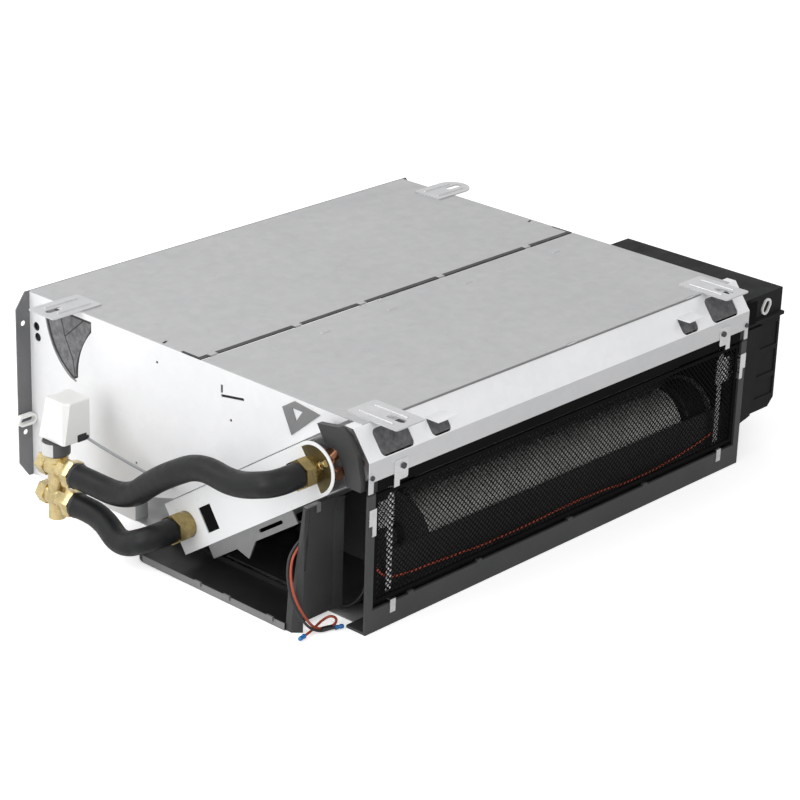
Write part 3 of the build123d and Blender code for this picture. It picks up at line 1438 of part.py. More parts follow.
# Electrical box: tray with ribbed front, and a lid over its upper part
box_x0 = panel_x
box_x1 = box_x0 + BOX_W
box_y0 = from_front(BOX_FRONT)
box_mid = (box_x0 + box_x1) / 2
with BuildPart() as electrical_box:
    with BuildSketch(Plane.XY.offset(BOX_LOW)):
        with Locations((box_mid, box_y0 + BOX_DEPTH / 2)):
            Rectangle(BOX_W, BOX_DEPTH)
    extrude(amount=box_split - BOX_LOW)
    low_edge = electrical_box.edges().filter_by(Axis.Y).group_by(Axis.Z)[0].sort_by(Axis.X)[-1]
    chamfer(low_edge, 10.0)
    offset(amount=-BOX_WALL, openings=electrical_box.faces().sort_by(Axis.Z)[-1])
    # Clear of the inlet frame's post
    with BuildSketch(Plane.XY.offset(BOX_LOW)):
        with Locations(((box_x0 + x_side) / 2, (box_y0 + y_front + FRAME_DEPTH) / 2)):
            Rectangle(x_side - box_x0, y_front + FRAME_DEPTH - box_y0)
    extrude(amount=box_split - BOX_LOW, mode=Mode.SUBTRACT)
    pocket_face = Plane(origin=(0, box_y0, 0), x_dir=(1, 0, 0), z_dir=(0, -1, 0))
    with BuildSketch(pocket_face):
        for low, high in ((66.0, 88.0), (94.0, 122.0), (128.0, 156.0)):
            with Locations(((x_side + 36.0 + box_x1 - 4.0) / 2, (low + high) / 2)):
                Rectangle(box_x1 - 4.0 - x_side - 36.0, high - low)
    extrude(amount=-POCKET_D, mode=Mode.SUBTRACT)

with BuildPart() as electrical_cover:
    with BuildSketch(Plane.XY.offset(box_split)):
        with Locations((box_mid, box_y0 + BOX_DEPTH / 2)):
            Rectangle(BOX_W, BOX_DEPTH)
    extrude(amount=box_high - box_split)
    offset(amount=-BOX_WALL, openings=electrical_cover.faces().sort_by(Axis.Z)[0])
    with BuildSketch(Plane.XY.offset(box_split)):
        with Locations((box_mid + 8.0, box_y0 - BOX_cover_endIP / 2)):
            Rectangle(BOX_W - 16.0, BOX_cover_endIP)
    extrude(amount=4.0)

# White cable clip on the box and the pipe clip by the outlet flange
with BuildPart() as cable_clip:
    with BuildSketch(Plane.XZ.offset(-(box_y0))):
        with Locations((from_left(668.0), 181.0)):
            SlotOverall(20.0, 14.0, rotation=60)
            SlotOverall(15.0, 9.0, rotation=60, mode=Mode.SUBTRACT)
    extrude(amount=2.0)

with BuildPart() as pipe_clip:
    with BuildSketch(Plane.XZ.offset(-from_front(CASE_D - 3.0))):
        with Locations((-panel_x - 13.0, 72.0)):
            SlotOverall(26.0, 13.0)
            SlotOverall(20.0, 7.0, mode=Mode.SUBTRACT)
    extrude(amount=6.0)

# Screws: crossbar ends, strap tabs and hanger rivets
with BuildPart() as casing_screws:
    with BuildSketch(Plane.XZ.offset(-y_front)):
        for side in (-1, 1):
            with Locations((side * (x_side - 4.0), strip_low + 5.0)):
                Circle(SCREW_R)
    extrude(amount=SCREW_HEAD_H)
    with BuildSketch(Plane.XZ.offset(-y_front + STRAP_T)):
        for side in (-1, 1):
            with Locations((side * (x_side - STRAP_IN - 9.0), strip_low + 6.0)):
                Circle(SCREW_R + 0.6)
    extrude(amount=SCREW_HEAD_H)

pieces = {
    "rear_top_panel": rear_top_panel,
    "front_top_panel": front_top_panel,
    "left_side_panel": left_side_panel,
    "right_side_panel": right_side_panel,
    "base_panel": base_panel,
    "outlet_flange": outlet_flange,
    "top_felt": top_felt,
    "left_felt": left_felt,
    "right_felt": right_felt,
    "front_crossbar": front_crossbar,
    "crossbar_felt": crossbar_felt,
    "hanger_front_left": hanger_front_left,
    "hanger_front_right": hanger_front_right,
    "hanger_rear_left": hanger_rear_left,
    "hanger_rear_right": hanger_rear_right,
    "inlet_frame": inlet_frame,
    "filter_frame": filter_frame,
    "filter_mesh": filter_mesh,
    "filter_straps": filter_straps,
    "guide_plates": guide_plates,
    "fan_wheel": fan_wheel,
    "fan_shaft": fan_shaft,
    "shaft_bush": shaft_bush,
    "fan_scroll": fan_scroll,
    "scroll_end_left": scroll_end_left,
    "scroll_end_right": scroll_end_right,
    "fan_tongue": fan_tongue,
    "fan_motor": fan_motor,
    "motor_bracket": motor_bracket,
    "fin_pack": fin_pack,
    "coil_tubes": coil_tubes,
    "coil_end_plate_left": coil_end_plate_left,
    "coil_end_plate_right": coil_end_plate_right,
    "coil_cover_left": coil_cover_left,
    "coil_headers": coil_headers,
    "union_nut_upper": union_nut_upper,
    "union_nut_lower": union_nut_lower,
    "air_vent": air_vent,
    "coil_rail": coil_rail,
    "coil_bracket": coil_bracket,
    "drain_pan": drain_pan,
    "side_tray": side_tray,
    "left_cheek": left_cheek,
    "right_cheek": right_cheek,
    "valve_body": valve_body,
    "valve_ring": valve_ring,
    "actuator_housing": actuator_housing,
    "valve_stem": valve_stem,
    "hose_upper": hose_upper,
    "hose_lower": hose_lower,
    "actuator_cable": actuator_cable,
    "inlet_wire": inlet_wire,
    "red_lead": red_lead,
    "black_lead": black_lead,
    "crimps": crimps,
    "electrical_box": electrical_box,
    "electrical_cover": electrical_cover,
    "cable_clip": cable_clip,
    "pipe_clip": pipe_clip,
    "casing_screws": casing_screws,
}
for name, piece in pieces.items():
    save(piece, name)
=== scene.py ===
import bmesh
import bpy
from math import cos, pi, radians, sin
from mathutils import Matrix, Vector


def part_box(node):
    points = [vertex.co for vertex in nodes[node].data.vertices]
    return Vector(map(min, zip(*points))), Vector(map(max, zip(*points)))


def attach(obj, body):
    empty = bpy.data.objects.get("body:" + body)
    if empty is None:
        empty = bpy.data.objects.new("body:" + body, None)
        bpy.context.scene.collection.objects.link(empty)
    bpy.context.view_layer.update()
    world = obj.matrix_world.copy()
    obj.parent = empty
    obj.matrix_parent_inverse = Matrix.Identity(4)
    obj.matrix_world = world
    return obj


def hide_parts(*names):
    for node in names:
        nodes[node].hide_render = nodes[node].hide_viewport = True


# Fan coil unit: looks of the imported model, in the CAD frame.
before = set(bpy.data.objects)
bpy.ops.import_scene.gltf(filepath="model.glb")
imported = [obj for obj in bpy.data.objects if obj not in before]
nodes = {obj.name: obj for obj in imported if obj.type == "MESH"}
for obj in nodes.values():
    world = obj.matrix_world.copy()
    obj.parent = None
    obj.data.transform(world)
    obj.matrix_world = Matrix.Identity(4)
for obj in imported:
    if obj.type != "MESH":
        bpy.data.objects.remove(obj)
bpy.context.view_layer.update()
scene = bpy.context.scene
collection = scene.collection

MM = 0.001


def mm(*point):
    return Vector(point) * MM


# Camera
CAMERA_AZIMUTH = radians(-47.71)
CAMERA_ELEVATION = radians(22.64)
CAMERA_ROLL = radians(1.94)
CAMERA_PLACE = mm(-2016.3, -1851.0, 1228.1)
FOCAL_PIXELS = 2620.3
FRAME_PIXELS = 800.0
SENSOR = 36.0

camera_data = bpy.data.cameras.new("camera")
camera_data.sensor_width = SENSOR
camera_data.lens = FOCAL_PIXELS / FRAME_PIXELS * SENSOR
camera_data.clip_start = 0.05
camera_data.clip_end = 50.0
camera = bpy.data.objects.new("camera", camera_data)
collection.objects.link(camera)
back = Vector((
    sin(CAMERA_AZIMUTH) * cos(CAMERA_ELEVATION),
    -cos(CAMERA_AZIMUTH) * cos(CAMERA_ELEVATION),
    sin(CAMERA_ELEVATION),
))
right = Vector((0, 0, 1)).cross(back).normalized()
up = back.cross(right)
rolled_right = right * cos(CAMERA_ROLL) + up * sin(CAMERA_ROLL)
rolled_up = up * cos(CAMERA_ROLL) - right * sin(CAMERA_ROLL)
camera.matrix_world = Matrix((
    (rolled_right.x, rolled_up.x, back.x, CAMERA_PLACE.x),
    (rolled_right.y, rolled_up.y, back.y, CAMERA_PLACE.y),
    (rolled_right.z, rolled_up.z, back.z, CAMERA_PLACE.z),
    (0, 0, 0, 1),
))
scene.camera = camera


# Materials
NOISE_ROUGH = 0.55
NOISE_RANGE = (0.3, 0.7)  # where most values of a noise lie
# Noises: features per metre, detail, and roughness where it isn't the usual one
ZINC_CLOUD = (7.0, 5.0)
ZINC_STREAK = (30.0, 3.0)
ZINC_GLOSS = (60.0, 4.0)
ZINC_GRAIN = (420.0, 3.0)
PLASTIC_TINT = (14.0, 5.0)
PLASTIC_GLOSS = (40.0, 3.0)
BRASS_TARNISH = (55.0, 6.0, 0.65)
BRASS_GLOSS = (90.0, 4.0)
BRASS_MARKS = (300.0, 4.0)
FOAM_TINT = (60.0, 6.0, 0.6)
FOAM_GLOSS = (120.0, 3.0)
FOAM_DENTS = (90.0, 3.0)
STEEL_TINT = (35.0, 5.0)
STEEL_BRUSHING = (240.0, 3.0)
FELT_CLUMPS = (120.0, 6.0, 0.7)
FELT_FUZZ = (500.0, 5.0, 0.7)
# Stretch of streaks and brushing, which run along X
ZINC_STRETCH = (0.06, 1.0, 1.0)
STEEL_STRETCH = (0.15, 1.0, 1.0)
# Cells, and the grain of plastic: features per metre
ZINC_SPANGLES = 95.0
FOAM_PORES = 700.0
PLASTIC_GRAIN = 900.0
WIRE_GRAIN = 500.0
GRAIN_DETAIL = 2.0
# Bumps: strength, and distance in metres
BUMP_DISTANCE = 0.0005
ZINC_BUMP = 0.08
BRASS_BUMP = 0.15
STEEL_BUMP = 0.08
FOAM_BUMP = (0.35, 0.0006)
FELT_BUMP = (0.5, 0.0008)
PLASTIC_BUMP = 0.12
WIRE_BUMP = 0.05
GRAIN_DISTANCE = 0.0003
# Shares of a colour between which its shade moves
ZINC_DARK = (0.72, 0.73, 0.75)
ZINC_LIGHT = (1.24, 1.24, 1.25)
FOAM_SHADES = (0.8, 1.25)
STEEL_SHADES = (0.86, 1.08)
FELT_SHADES = (0.6, 1.5)
SPLIT_SHADES = (0.9, 1.1)
BRASS_DULL = 0.62
BRASS_STOPS = (0.32, 0.62)
# How far clouds and streaks move the tone of zinc from its middle
CLOUD_SWING = 0.05
STREAK_SWING = 0.02
TONE_MIDDLE = 0.5
# Width in metres over which one colour turns into another
LOW_WIDTH = 0.0004
SPLIT_WIDTH = 0.0002
SPLIT_ROUGH = 0.45


class Shader:
    """Builds one node material step by step."""

    def __init__(self, name, color, rough, metal=0.0, spec=0.5):
        self.material = bpy.data.materials.new(name)
        self.material.use_nodes = True
        self.tree = self.material.node_tree
        self.bsdf = self.tree.nodes["Principled BSDF"]
        self.bsdf.inputs["Base Color"].default_value = (*color, 1)
        self.bsdf.inputs["Roughness"].default_value = rough
        self.bsdf.inputs["Metallic"].default_value = metal
        self.bsdf.inputs["Specular IOR Level"].default_value = spec
        self.place = self.tree.nodes.new("ShaderNodeTexCoord").outputs["Object"]

    def node(self, kind, **values):
        made = self.tree.nodes.new(kind)
        for key, value in values.items():
            setattr(made, key, value)
        return made

    def link(self, out, into):
        self.tree.links.new(out, into)

    def scaled(self, scale):
        mapping = self.node("ShaderNodeMapping")
        mapping.inputs["Scale"].default_value = scale
        self.link(self.place, mapping.inputs["Vector"])
        return mapping.outputs["Vector"]

    def noise(self, scale, detail, rough=NOISE_ROUGH, stretch=None):
        made = self.node("ShaderNodeTexNoise")
        made.inputs["Scale"].default_value = scale
        made.inputs["Detail"].default_value = detail
        made.inputs["Roughness"].default_value = rough
        self.link(self.scaled(stretch) if stretch else self.place, made.inputs["Vector"])
        return made.outputs["Fac"]

    def voronoi(self, scale, output):
        made = self.node("ShaderNodeTexVoronoi", feature="F1")
        made.inputs["Scale"].default_value = scale
        self.link(self.place, made.inputs["Vector"])
        return made.outputs[output]

    def ramp(self, factor, stops):
        """Colour ramp with two stops, each a position and a colour."""
        made = self.node("ShaderNodeValToRGB")
        for element, (at, color) in zip(made.color_ramp.elements, stops):
            element.position = at
            element.color = (*color, 1)
        self.link(factor, made.inputs["Fac"])
        return made.outputs["Color"]

    def shaded(self, noise, color, shares):
        """Colour that a noise moves between two shares of itself."""
        shades = [tuple(min(1.0, c * share) for c in color) for share in shares]
        return self.ramp(noise, zip(NOISE_RANGE, shades))

    def mapped(self, factor, low, high, start=0.0, end=1.0):
        made = self.node("ShaderNodeMapRange")
        made.inputs["From Min"].default_value = start
        made.inputs["From Max"].default_value = end
        made.inputs["To Min"].default_value = low
        made.inputs["To Max"].default_value = high
        self.link(factor, made.inputs["Value"])
        return made.outputs["Result"]

    def swing(self, noise, low, high):
        """A noise spread over the values from low to high."""
        return self.mapped(noise, low, high, *NOISE_RANGE)

    def math(self, operation, one, two):
        made = self.node("ShaderNodeMath", operation=operation)
        for socket, value in zip(made.inputs, (one, two)):
            if isinstance(value, (int, float)):
                socket.default_value = value
            else:
                self.link(value, socket)
        return made.outputs["Value"]

    def divided(self, axes, at, width, before, after):
        """Two colours, divided where a point's place along the axes passes a value in metres."""
        parts = self.node("ShaderNodeSeparateXYZ")
        self.link(self.place, parts.inputs["Vector"])
        along = 0.0
        for axis, weight in zip("XYZ", axes):
            along = self.math("ADD", self.math("MULTIPLY", parts.outputs[axis], weight), along)
        made = self.node("ShaderNodeMix", data_type="RGBA")
        self.link(self.mapped(along, 0.0, 1.0, at, at + width), made.inputs[0])
        self.link(before, made.inputs[6])
        self.link(after, made.inputs[7])
        return made.outputs[2]

    def color(self, out):
        self.link(out, self.bsdf.inputs["Base Color"])

    def rough(self, noise, base, less, more):
        """Roughness that a noise moves from less under its base to more over it."""
        self.link(self.swing(noise, base - less, base + more), self.bsdf.inputs["Roughness"])

    def bump(self, height, strength, distance=BUMP_DISTANCE):
        made = self.node("ShaderNodeBump")
        made.inputs["Strength"].default_value = strength
        made.inputs["Distance"].default_value = distance
        self.link(height, made.inputs["Height"])
        self.link(made.outputs["Normal"], self.bsdf.inputs["Normal"])


def galvanised(name, shade, rough, metal, spangle=0.05, low=None):
    """Hot-dip zinc: soft large spangles, fine grain and faint rolling streaks.

    low is a height in metres and the share of the shade that is left under it: painted shade below that
    height.
    """
    s = Shader(name, (shade,) * 3, rough, metal)
    cell = s.node("ShaderNodeSeparateColor")
    s.link(s.voronoi(ZINC_SPANGLES, "Color"), cell.inputs["Color"])
    cloud = s.swing(s.noise(*ZINC_CLOUD), -CLOUD_SWING, CLOUD_SWING)
    streak = s.swing(s.noise(*ZINC_STREAK, stretch=ZINC_STRETCH), -STREAK_SWING, STREAK_SWING)
    tone = s.math("ADD", s.mapped(cell.outputs["Red"], -spangle, spangle), cloud)
    tone = s.math("ADD", s.math("ADD", tone, streak), TONE_MIDDLE)

    def zinc(level):
        """Ramp of the tone between the dark and the light of one shade."""
        dark, light = (tuple(level * share for share in shares) for shares in (ZINC_DARK, ZINC_LIGHT))
        return s.ramp(tone, [(0.0, dark), (1.0, light)])

    # Painted shade: a darker copy of the zinc under the height given in low
    if low:
        height, share = low
        s.color(s.divided((0, 0, 1), height, LOW_WIDTH, zinc(shade * share), zinc(shade)))
    else:
        s.color(zinc(shade))
    s.rough(s.noise(*ZINC_GLOSS), rough, less=0.08, more=0.1)
    s.bump(s.noise(*ZINC_GRAIN), ZINC_BUMP)
    return s.material


def moulded(s, rough, grain=PLASTIC_GRAIN, depth=PLASTIC_BUMP):
    """Gives a shader the uneven gloss and the fine spark-eroded grain of moulded plastic."""
    s.rough(s.noise(*PLASTIC_GLOSS), rough, less=0.06, more=0.08)
    s.bump(s.noise(grain, GRAIN_DETAIL), depth, GRAIN_DISTANCE)
    return s.material


def plastic(name, color, rough, grain=PLASTIC_GRAIN, depth=PLASTIC_BUMP, vary=0.1, spec=0.5):
    """Moulded plastic with slight shade changes."""
    s = Shader(name, color, rough, spec=spec)
    s.color(s.shaded(s.noise(*PLASTIC_TINT), color, (1 - vary, 1 + vary)))
    return moulded(s, rough, grain, depth)


def wire_plastic(name, color, rough):
    """Smoother plastic of wires, crimps and small rings."""
    return plastic(name, color, rough, WIRE_GRAIN, WIRE_BUMP)


def split_plastic(name, base, other, axes, at):
    """Plastic in two colours, divided at a place along the axes. On the valve ring and the side tray
    the dark colour is painted shade.
    """
    s = Shader(name, base, SPLIT_ROUGH, spec=0.4)
    tint = s.noise(*PLASTIC_TINT)
    shades = [s.shaded(tint, color, SPLIT_SHADES) for color in (base, other)]
    s.color(s.divided(axes, at, SPLIT_WIDTH, *shades))
    return moulded(s, SPLIT_ROUGH)


def brass(name, color, rough):
    """Machined brass or copper, with turning marks and slight tarnish."""
    s = Shader(name, color, rough, metal=1.0)
    dull = tuple(c * BRASS_DULL for c in color)
    s.color(s.ramp(s.noise(*BRASS_TARNISH), zip(BRASS_STOPS, (dull, color))))
    s.rough(s.noise(*BRASS_GLOSS), rough, less=0.08, more=0.2)
    s.bump(s.noise(*BRASS_MARKS), BRASS_BUMP)
    return s.material


def foam(name, color, rough):
    """Closed-cell rubber foam sleeve: matt skin with fine pores and soft dents."""
    s = Shader(name, color, rough, spec=0.22)
    s.color(s.shaded(s.noise(*FOAM_TINT), color, FOAM_SHADES))
    s.rough(s.noise(*FOAM_GLOSS), rough, less=0.1, more=0.08)
    pores = s.mapped(s.voronoi(FOAM_PORES, "Distance"), 0.0, 0.5)
    s.bump(s.math("ADD", pores, s.noise(*FOAM_DENTS)), *FOAM_BUMP)
    return s.material


def steel(name, color, rough, metal=1.0):
    """Sheet steel or aluminium with fine brushing."""
    s = Shader(name, color, rough, metal)
    brushing = s.noise(*STEEL_BRUSHING, stretch=STEEL_STRETCH)
    s.color(s.shaded(s.noise(*STEEL_TINT), color, STEEL_SHADES))
    s.rough(brushing, rough, less=0.08, more=0.12)
    s.bump(brushing, STEEL_BUMP)
    return s.material


def felt(name, color):
    """Bonded fibre lining: fuzzy, matt, with clumps."""
    s = Shader(name, color, rough=0.95, spec=0.2)
    s.color(s.shaded(s.noise(*FELT_CLUMPS), color, FELT_SHADES))
    s.bump(s.noise(*FELT_FUZZ), *FELT_BUMP)
    return s.material


# Borders between two colours: axes, and the place along them in metres
# Painted shade: the crossbar below this height is drawn in a darker copy of its zinc
BAR_SHADE_HEIGHT = 0.1884  # height; darker below
FRAME_BORDER = ((0, 0, 1), 0.1525)  # black above
# Painted shade: the valve ring's dark part toward the right front
RING_SHADE_BORDER = ((0.76, -0.65, 0), -0.3755)  # dark toward the right front
# Painted shade: the side tray's black inner floor toward the casing
TRAY_SHADE_BORDER = ((1, 0, 0), -0.3621)  # black toward the casing

# The top and side panels are one galvanised sheet in two copies: the darker top is painted shade, the
# lighter, more matt sides are painted light
top_zinc_painted_shade = galvanised("top_zinc_painted_shade", 0.50, 0.44, 0.3)
side_zinc_painted_light = galvanised("side_zinc_painted_light", 0.80, 0.42, 0.08, 0.02)
bar_zinc = galvanised("bar_zinc", 0.90, 0.38, 0.3, 0.03, low=(BAR_SHADE_HEIGHT, 0.74))
base_zinc = galvanised("base_zinc", 0.55, 0.45, 0.4)
hanger_zinc = galvanised("hanger_zinc", 0.60, 0.36, 0.6)
rail_zinc = galvanised("rail_zinc", 0.24, 0.4, 0.45, 0.08)
flange_grey = plastic("flange_grey", (0.150, 0.152, 0.156), 0.45, vary=0.15, spec=0.35)
cheek_grey = plastic("cheek_grey", (0.040, 0.041, 0.042), 0.42, spec=0.4)
tray_black = plastic("tray_black", (0.016, 0.016, 0.017), 0.42, spec=0.35)
box_black = plastic("box_black", (0.016, 0.0165, 0.017), 0.62, spec=0.1)
white_plastic = plastic("white_plastic", (0.82, 0.82, 0.80), 0.38, vary=0.03)
cover_white = plastic("cover_white", (0.83, 0.84, 0.85), 0.33, vary=0.02, depth=0.05)
hose_foam = foam("hose_foam", (0.011, 0.0115, 0.0125), 0.45)
valve_brass = brass("valve_brass", (0.74, 0.60, 0.31), 0.22)
union_brass = brass("union_brass", (0.40, 0.31, 0.135), 0.24)
# Painted shade: a darker copy of brass for the inside of the cover's mouth
brass_in_painted_shade = brass("brass_in_painted_shade", (0.15, 0.12, 0.06), 0.4)
copper = brass("copper", (0.33, 0.155, 0.09), 0.34)
aluminium = steel("aluminium", (0.78, 0.79, 0.80), 0.34)
bright_steel = steel("bright_steel", (0.80, 0.80, 0.81), 0.26)
motor_paint = plastic("motor_paint", (0.020, 0.020, 0.022), 0.55, spec=0.2)
wheel_grey = steel("wheel_grey", (0.78, 0.80, 0.76), 0.5, 0.1)
scroll_black = plastic("scroll_black", (0.018, 0.018, 0.02), 0.5)
black_felt = felt("black_felt", (0.02, 0.02, 0.022))
grey_felt = felt("grey_felt", (0.14, 0.14, 0.145))
liner_felt = felt("liner_felt", (0.16, 0.16, 0.165))
dark_steel = steel("dark_steel", (0.10, 0.10, 0.11), 0.4)
net_black = plastic("net_black", (0.006, 0.006, 0.006), 0.8, spec=0.05)
red_wire = wire_plastic("red_wire", (0.44, 0.075, 0.035), 0.42)
orange_wire = wire_plastic("orange_wire", (0.74, 0.13, 0.065), 0.5)
black_wire = wire_plastic("black_wire", (0.02, 0.02, 0.022), 0.42)
grey_wire = wire_plastic("grey_wire", (0.30, 0.31, 0.32), 0.45)
blue_crimp = wire_plastic("blue_crimp", (0.015, 0.15, 0.42), 0.3)
frame_grey = split_plastic("frame_grey", (0.050, 0.051, 0.052), (0.007, 0.007, 0.007), *FRAME_BORDER)
ring_plastic = split_plastic("ring_plastic", (0.60, 0.60, 0.60), (0.075, 0.075, 0.08), *RING_SHADE_BORDER)
tray_grey_painted_shade = split_plastic("tray_grey_painted_shade", (0.20, 0.20, 0.20), (0.014, 0.014, 0.015), *TRAY_SHADE_BORDER)

# Materials of the CAD nodes, also of those that a piece further down replaces
LOOKS = (
    (top_zinc_painted_shade, "rear_top_panel front_top_panel"),
    (side_zinc_painted_light, "left_side_panel right_side_panel"),
    (base_zinc, "base_panel motor_bracket coil_end_plate_left coil_end_plate_right"),
    (flange_grey, "outlet_flange"),
    (black_felt, "top_felt left_felt right_felt"),
    (bar_zinc, "front_crossbar"),
    (grey_felt, "crossbar_felt"),
    (hanger_zinc, "hanger_front_left hanger_front_right hanger_rear_left hanger_rear_right"),
    (frame_grey, "inlet_frame"),
    (net_black, "filter_frame filter_mesh"),
    (bright_steel, "filter_straps guide_plates fan_shaft valve_stem"),
    (wheel_grey, "fan_wheel"),
    (scroll_black, "shaft_bush fan_scroll scroll_end_left scroll_end_right fan_tongue"),
    (motor_paint, "fan_motor"),
    (aluminium, "fin_pack"),
    (copper, "coil_tubes coil_headers"),
    (cover_white, "coil_cover_left"),
    (union_brass, "union_nut_upper union_nut_lower air_vent"),
    (rail_zinc, "coil_rail coil_bracket"),
    (tray_black, "drain_pan"),
    (tray_grey_painted_shade, "side_tray"),
    (cheek_grey, "left_cheek"),
    (box_black, "right_cheek electrical_box electrical_cover"),
    (valve_brass, "valve_body"),
    (ring_plastic, "valve_ring"),
    (white_plastic, "actuator_housing cable_clip pipe_clip"),
    (hose_foam, "hose_upper hose_lower"),
    (dark_steel, "casing_screws"),
    (blue_crimp, "crimps"),
)
for material, names in LOOKS:
    for name in names.split():
        nodes[name].data.materials.clear()
        nodes[name].data.materials.append(material)


# Mesh helpers, all in mm
SHARP_ANGLE = radians(38)
ROUND_SIDES = 24
BEVEL_SEGMENTS = 2


def finish_mesh(name, mesh, material, smooth=False):
    """Turns a bmesh into a piece of the scene."""
    bmesh.ops.recalc_face_normals(mesh, faces=mesh.faces)
    data = bpy.data.meshes.new(name)
    mesh.to_mesh(data)
    mesh.free()
    data.materials.append(material)
    piece = bpy.data.objects.new(name, data)
    collection.objects.link(piece)
    if smooth:
        for polygon in data.polygons:
            polygon.use_smooth = True
        data.set_sharp_from_angle(angle=SHARP_ANGLE)
    return piece


def bridge(mesh, near, far):
    """Joins two closed rings of vertices with quads."""
    for i in range(len(near)):
        j = (i + 1) % len(near)
        mesh.faces.new((near[i], near[j], far[j], far[i]))


def slab(mesh, low, high, bevel):
    """Adds a block between two corners, with its edges rounded off."""
    size = Vector(high) - Vector(low)
    middle = (Vector(high) + Vector(low)) / 2
    place = Matrix.Translation(middle * MM) @ Matrix.Diagonal((*(size * MM), 1))
    made = bmesh.ops.create_cube(mesh, size=1.0, matrix=place)
    edges = {edge for vert in made["verts"] for edge in vert.link_edges}
    bmesh.ops.bevel(mesh, geom=list(edges), offset=bevel * MM, segments=BEVEL_SEGMENTS, affect="EDGES")


def plate(mesh, outline, x_near, x_far):
    """Adds a flat plate between two places along X, with an outline of (y, z) points."""
    near, far = (
        [mesh.verts.new((x * MM, p.x * MM, p.y * MM)) for p in outline]
        for x in (x_near, x_far)
    )
    mesh.faces.new(near)
    mesh.faces.new(far[::-1])
    bridge(mesh, near, far)


def ribbon(mesh, line, inward, width, x_low, x_high, closed=False):
    """Adds a flat strip in the plane of a side panel, along a line of (y, z) points."""
    count = len(line)
    rings = []
    for i, point in enumerate(line):
        before = line[(i - 1) % count] if closed or i else point
        after = line[(i + 1) % count] if closed or i < count - 1 else point
        run = (after - before).normalized()
        beside = point + Vector((-run.y, run.x)) * width * inward
        section = ((x_low, point), (x_low, beside), (x_high, beside), (x_high, point))
        rings.append([mesh.verts.new((x * MM, p.x * MM, p.y * MM)) for x, p in section])
    for near, far in zip(rings, rings[1:]):
        bridge(mesh, near, far)
    if closed:
        bridge(mesh, rings[-1], rings[0])
    else:
        mesh.faces.new(rings[0])
        mesh.faces.new(rings[-1])


def turned(name, start, direction, profile, material, sides=ROUND_SIDES):
    """Lathe piece: profile of (distance along, radius) from a start point."""
    axis = Vector(direction).normalized()
    side = axis.orthogonal().normalized()
    other = axis.cross(side)
    mesh = bmesh.new()
    rings = []
    for along, radius in profile:
        ring = []
        for i in range(sides):
            turn = 2 * pi * i / sides
            offset = side * cos(turn) + other * sin(turn)
            ring.append(mesh.verts.new((Vector(start) + axis * along + offset * radius) * MM))
        rings.append(ring)
    for near, far in zip(rings, rings[1:]):
        bridge(mesh, near, far)
    mesh.faces.new(rings[0][::-1])
    mesh.faces.new(rings[-1])
    return finish_mesh(name, mesh, material, smooth=True)


# Cords
CABLE_RADIUS = 1.6
WIRE_RADIUS = 1.2
LEAD_RADIUS = 1.4
cable_route = [
    (-346.0, 121.5, 105.0),
    (-335.0, 87.5, 90.0),
    (-302.2, 29.5, 62.0),
]
red_route = [
    (-344.0, -212.3, 102.0),
    (-357.0, -206.5, 90.0),
    (-365.0, -209.0, 66.0),
    (-364.5, -217.0, 40.0),
    (-354.0, -224.5, 16.0),
    (-341.0, -225.5, 2.6),
    (-321.0, -230.5, 2.0),
    (-313.5, -226.7, 6.0),
    (-314.0, -218.1, 6.5),
    (-321.5, -214.9, 3.5),
    (-333.5, -217.5, 2.0),
    (-348.5, -223.5, 2.3),
    (-359.5, -226.0, 2.7),
]
black_route = [
    (-345.9, -211.1, 104.6),
    (-359.4, -204.5, 91.6),
    (-366.9, -206.4, 66.0),
    (-367.0, -216.0, 36.0),
    (-358.0, -227.0, 13.0),
    (-342.0, -229.0, 2.0),
    (-331.5, -231.3, 2.3),
    (-324.5, -234.5, 2.7),
]
wire_route = [
    (-294.0, -253.8, 74.0),
    (-283.0, -253.8, 54.0),
    (-257.5, -253.8, 43.0),
    (-193.5, -253.8, 40.0),
    (-99.5, -253.8, 33.0),
    (49.5, -253.8, 38.0),
    (138.5, -253.8, 29.0),
    (248.5, -253.8, 39.0),
    (272.0, -253.8, 46.0),
]
# Insulated crimp: flared mouth, pressed barrel, rounded end
CRIMP_PROFILE = [
    (0, 1.7), (0, 2.5), (0.8, 2.6), (1.6, 2.3), (3.2, 2.3), (3.6, 1.9),
    (4.8, 1.9), (5.2, 2.3), (7.6, 2.4), (9.0, 2.0), (9.6, 0.8),
]
# Sleeve over both leads where they lie on the floor, lower than it is wide
SLEEVE_START = Vector((-338.0, -228.0, 2.6))
SLEEVE_RUN = (13.0, -3.0, -0.3)
SLEEVE_PROFILE = [(0, 2.0), (0.4, 3.3), (4.0, 3.5), (9.0, 3.4), (12.6, 3.2), (13.0, 2.0)]
SLEEVE_FLATTEN = 0.72


def cord_curve(name, route, radius, material):
    """Smooth curve through the same points as the CAD tube."""
    data = bpy.data.curves.new(name, "CURVE")
    data.dimensions = "3D"
    data.bevel_depth = radius * MM
    data.bevel_resolution = 6
    data.use_fill_caps = True
    spline = data.splines.new("NURBS")
    spline.points.add(len(route) - 1)
    for point, place in zip(spline.points, route):
        point.co = (*mm(*place), 1)
    spline.order_u = 3
    spline.use_endpoint_u = True
    spline.resolution_u = 12
    data.materials.append(material)
    cord = bpy.data.objects.new(name, data)
    collection.objects.link(cord)
    return cord


def crimp(name, route):
    """Crimp on the end of a lead, in line with its last run."""
    tail = Vector(route[-1])
    return turned(name, tail, tail - Vector(route[-2]), CRIMP_PROFILE, blue_crimp)


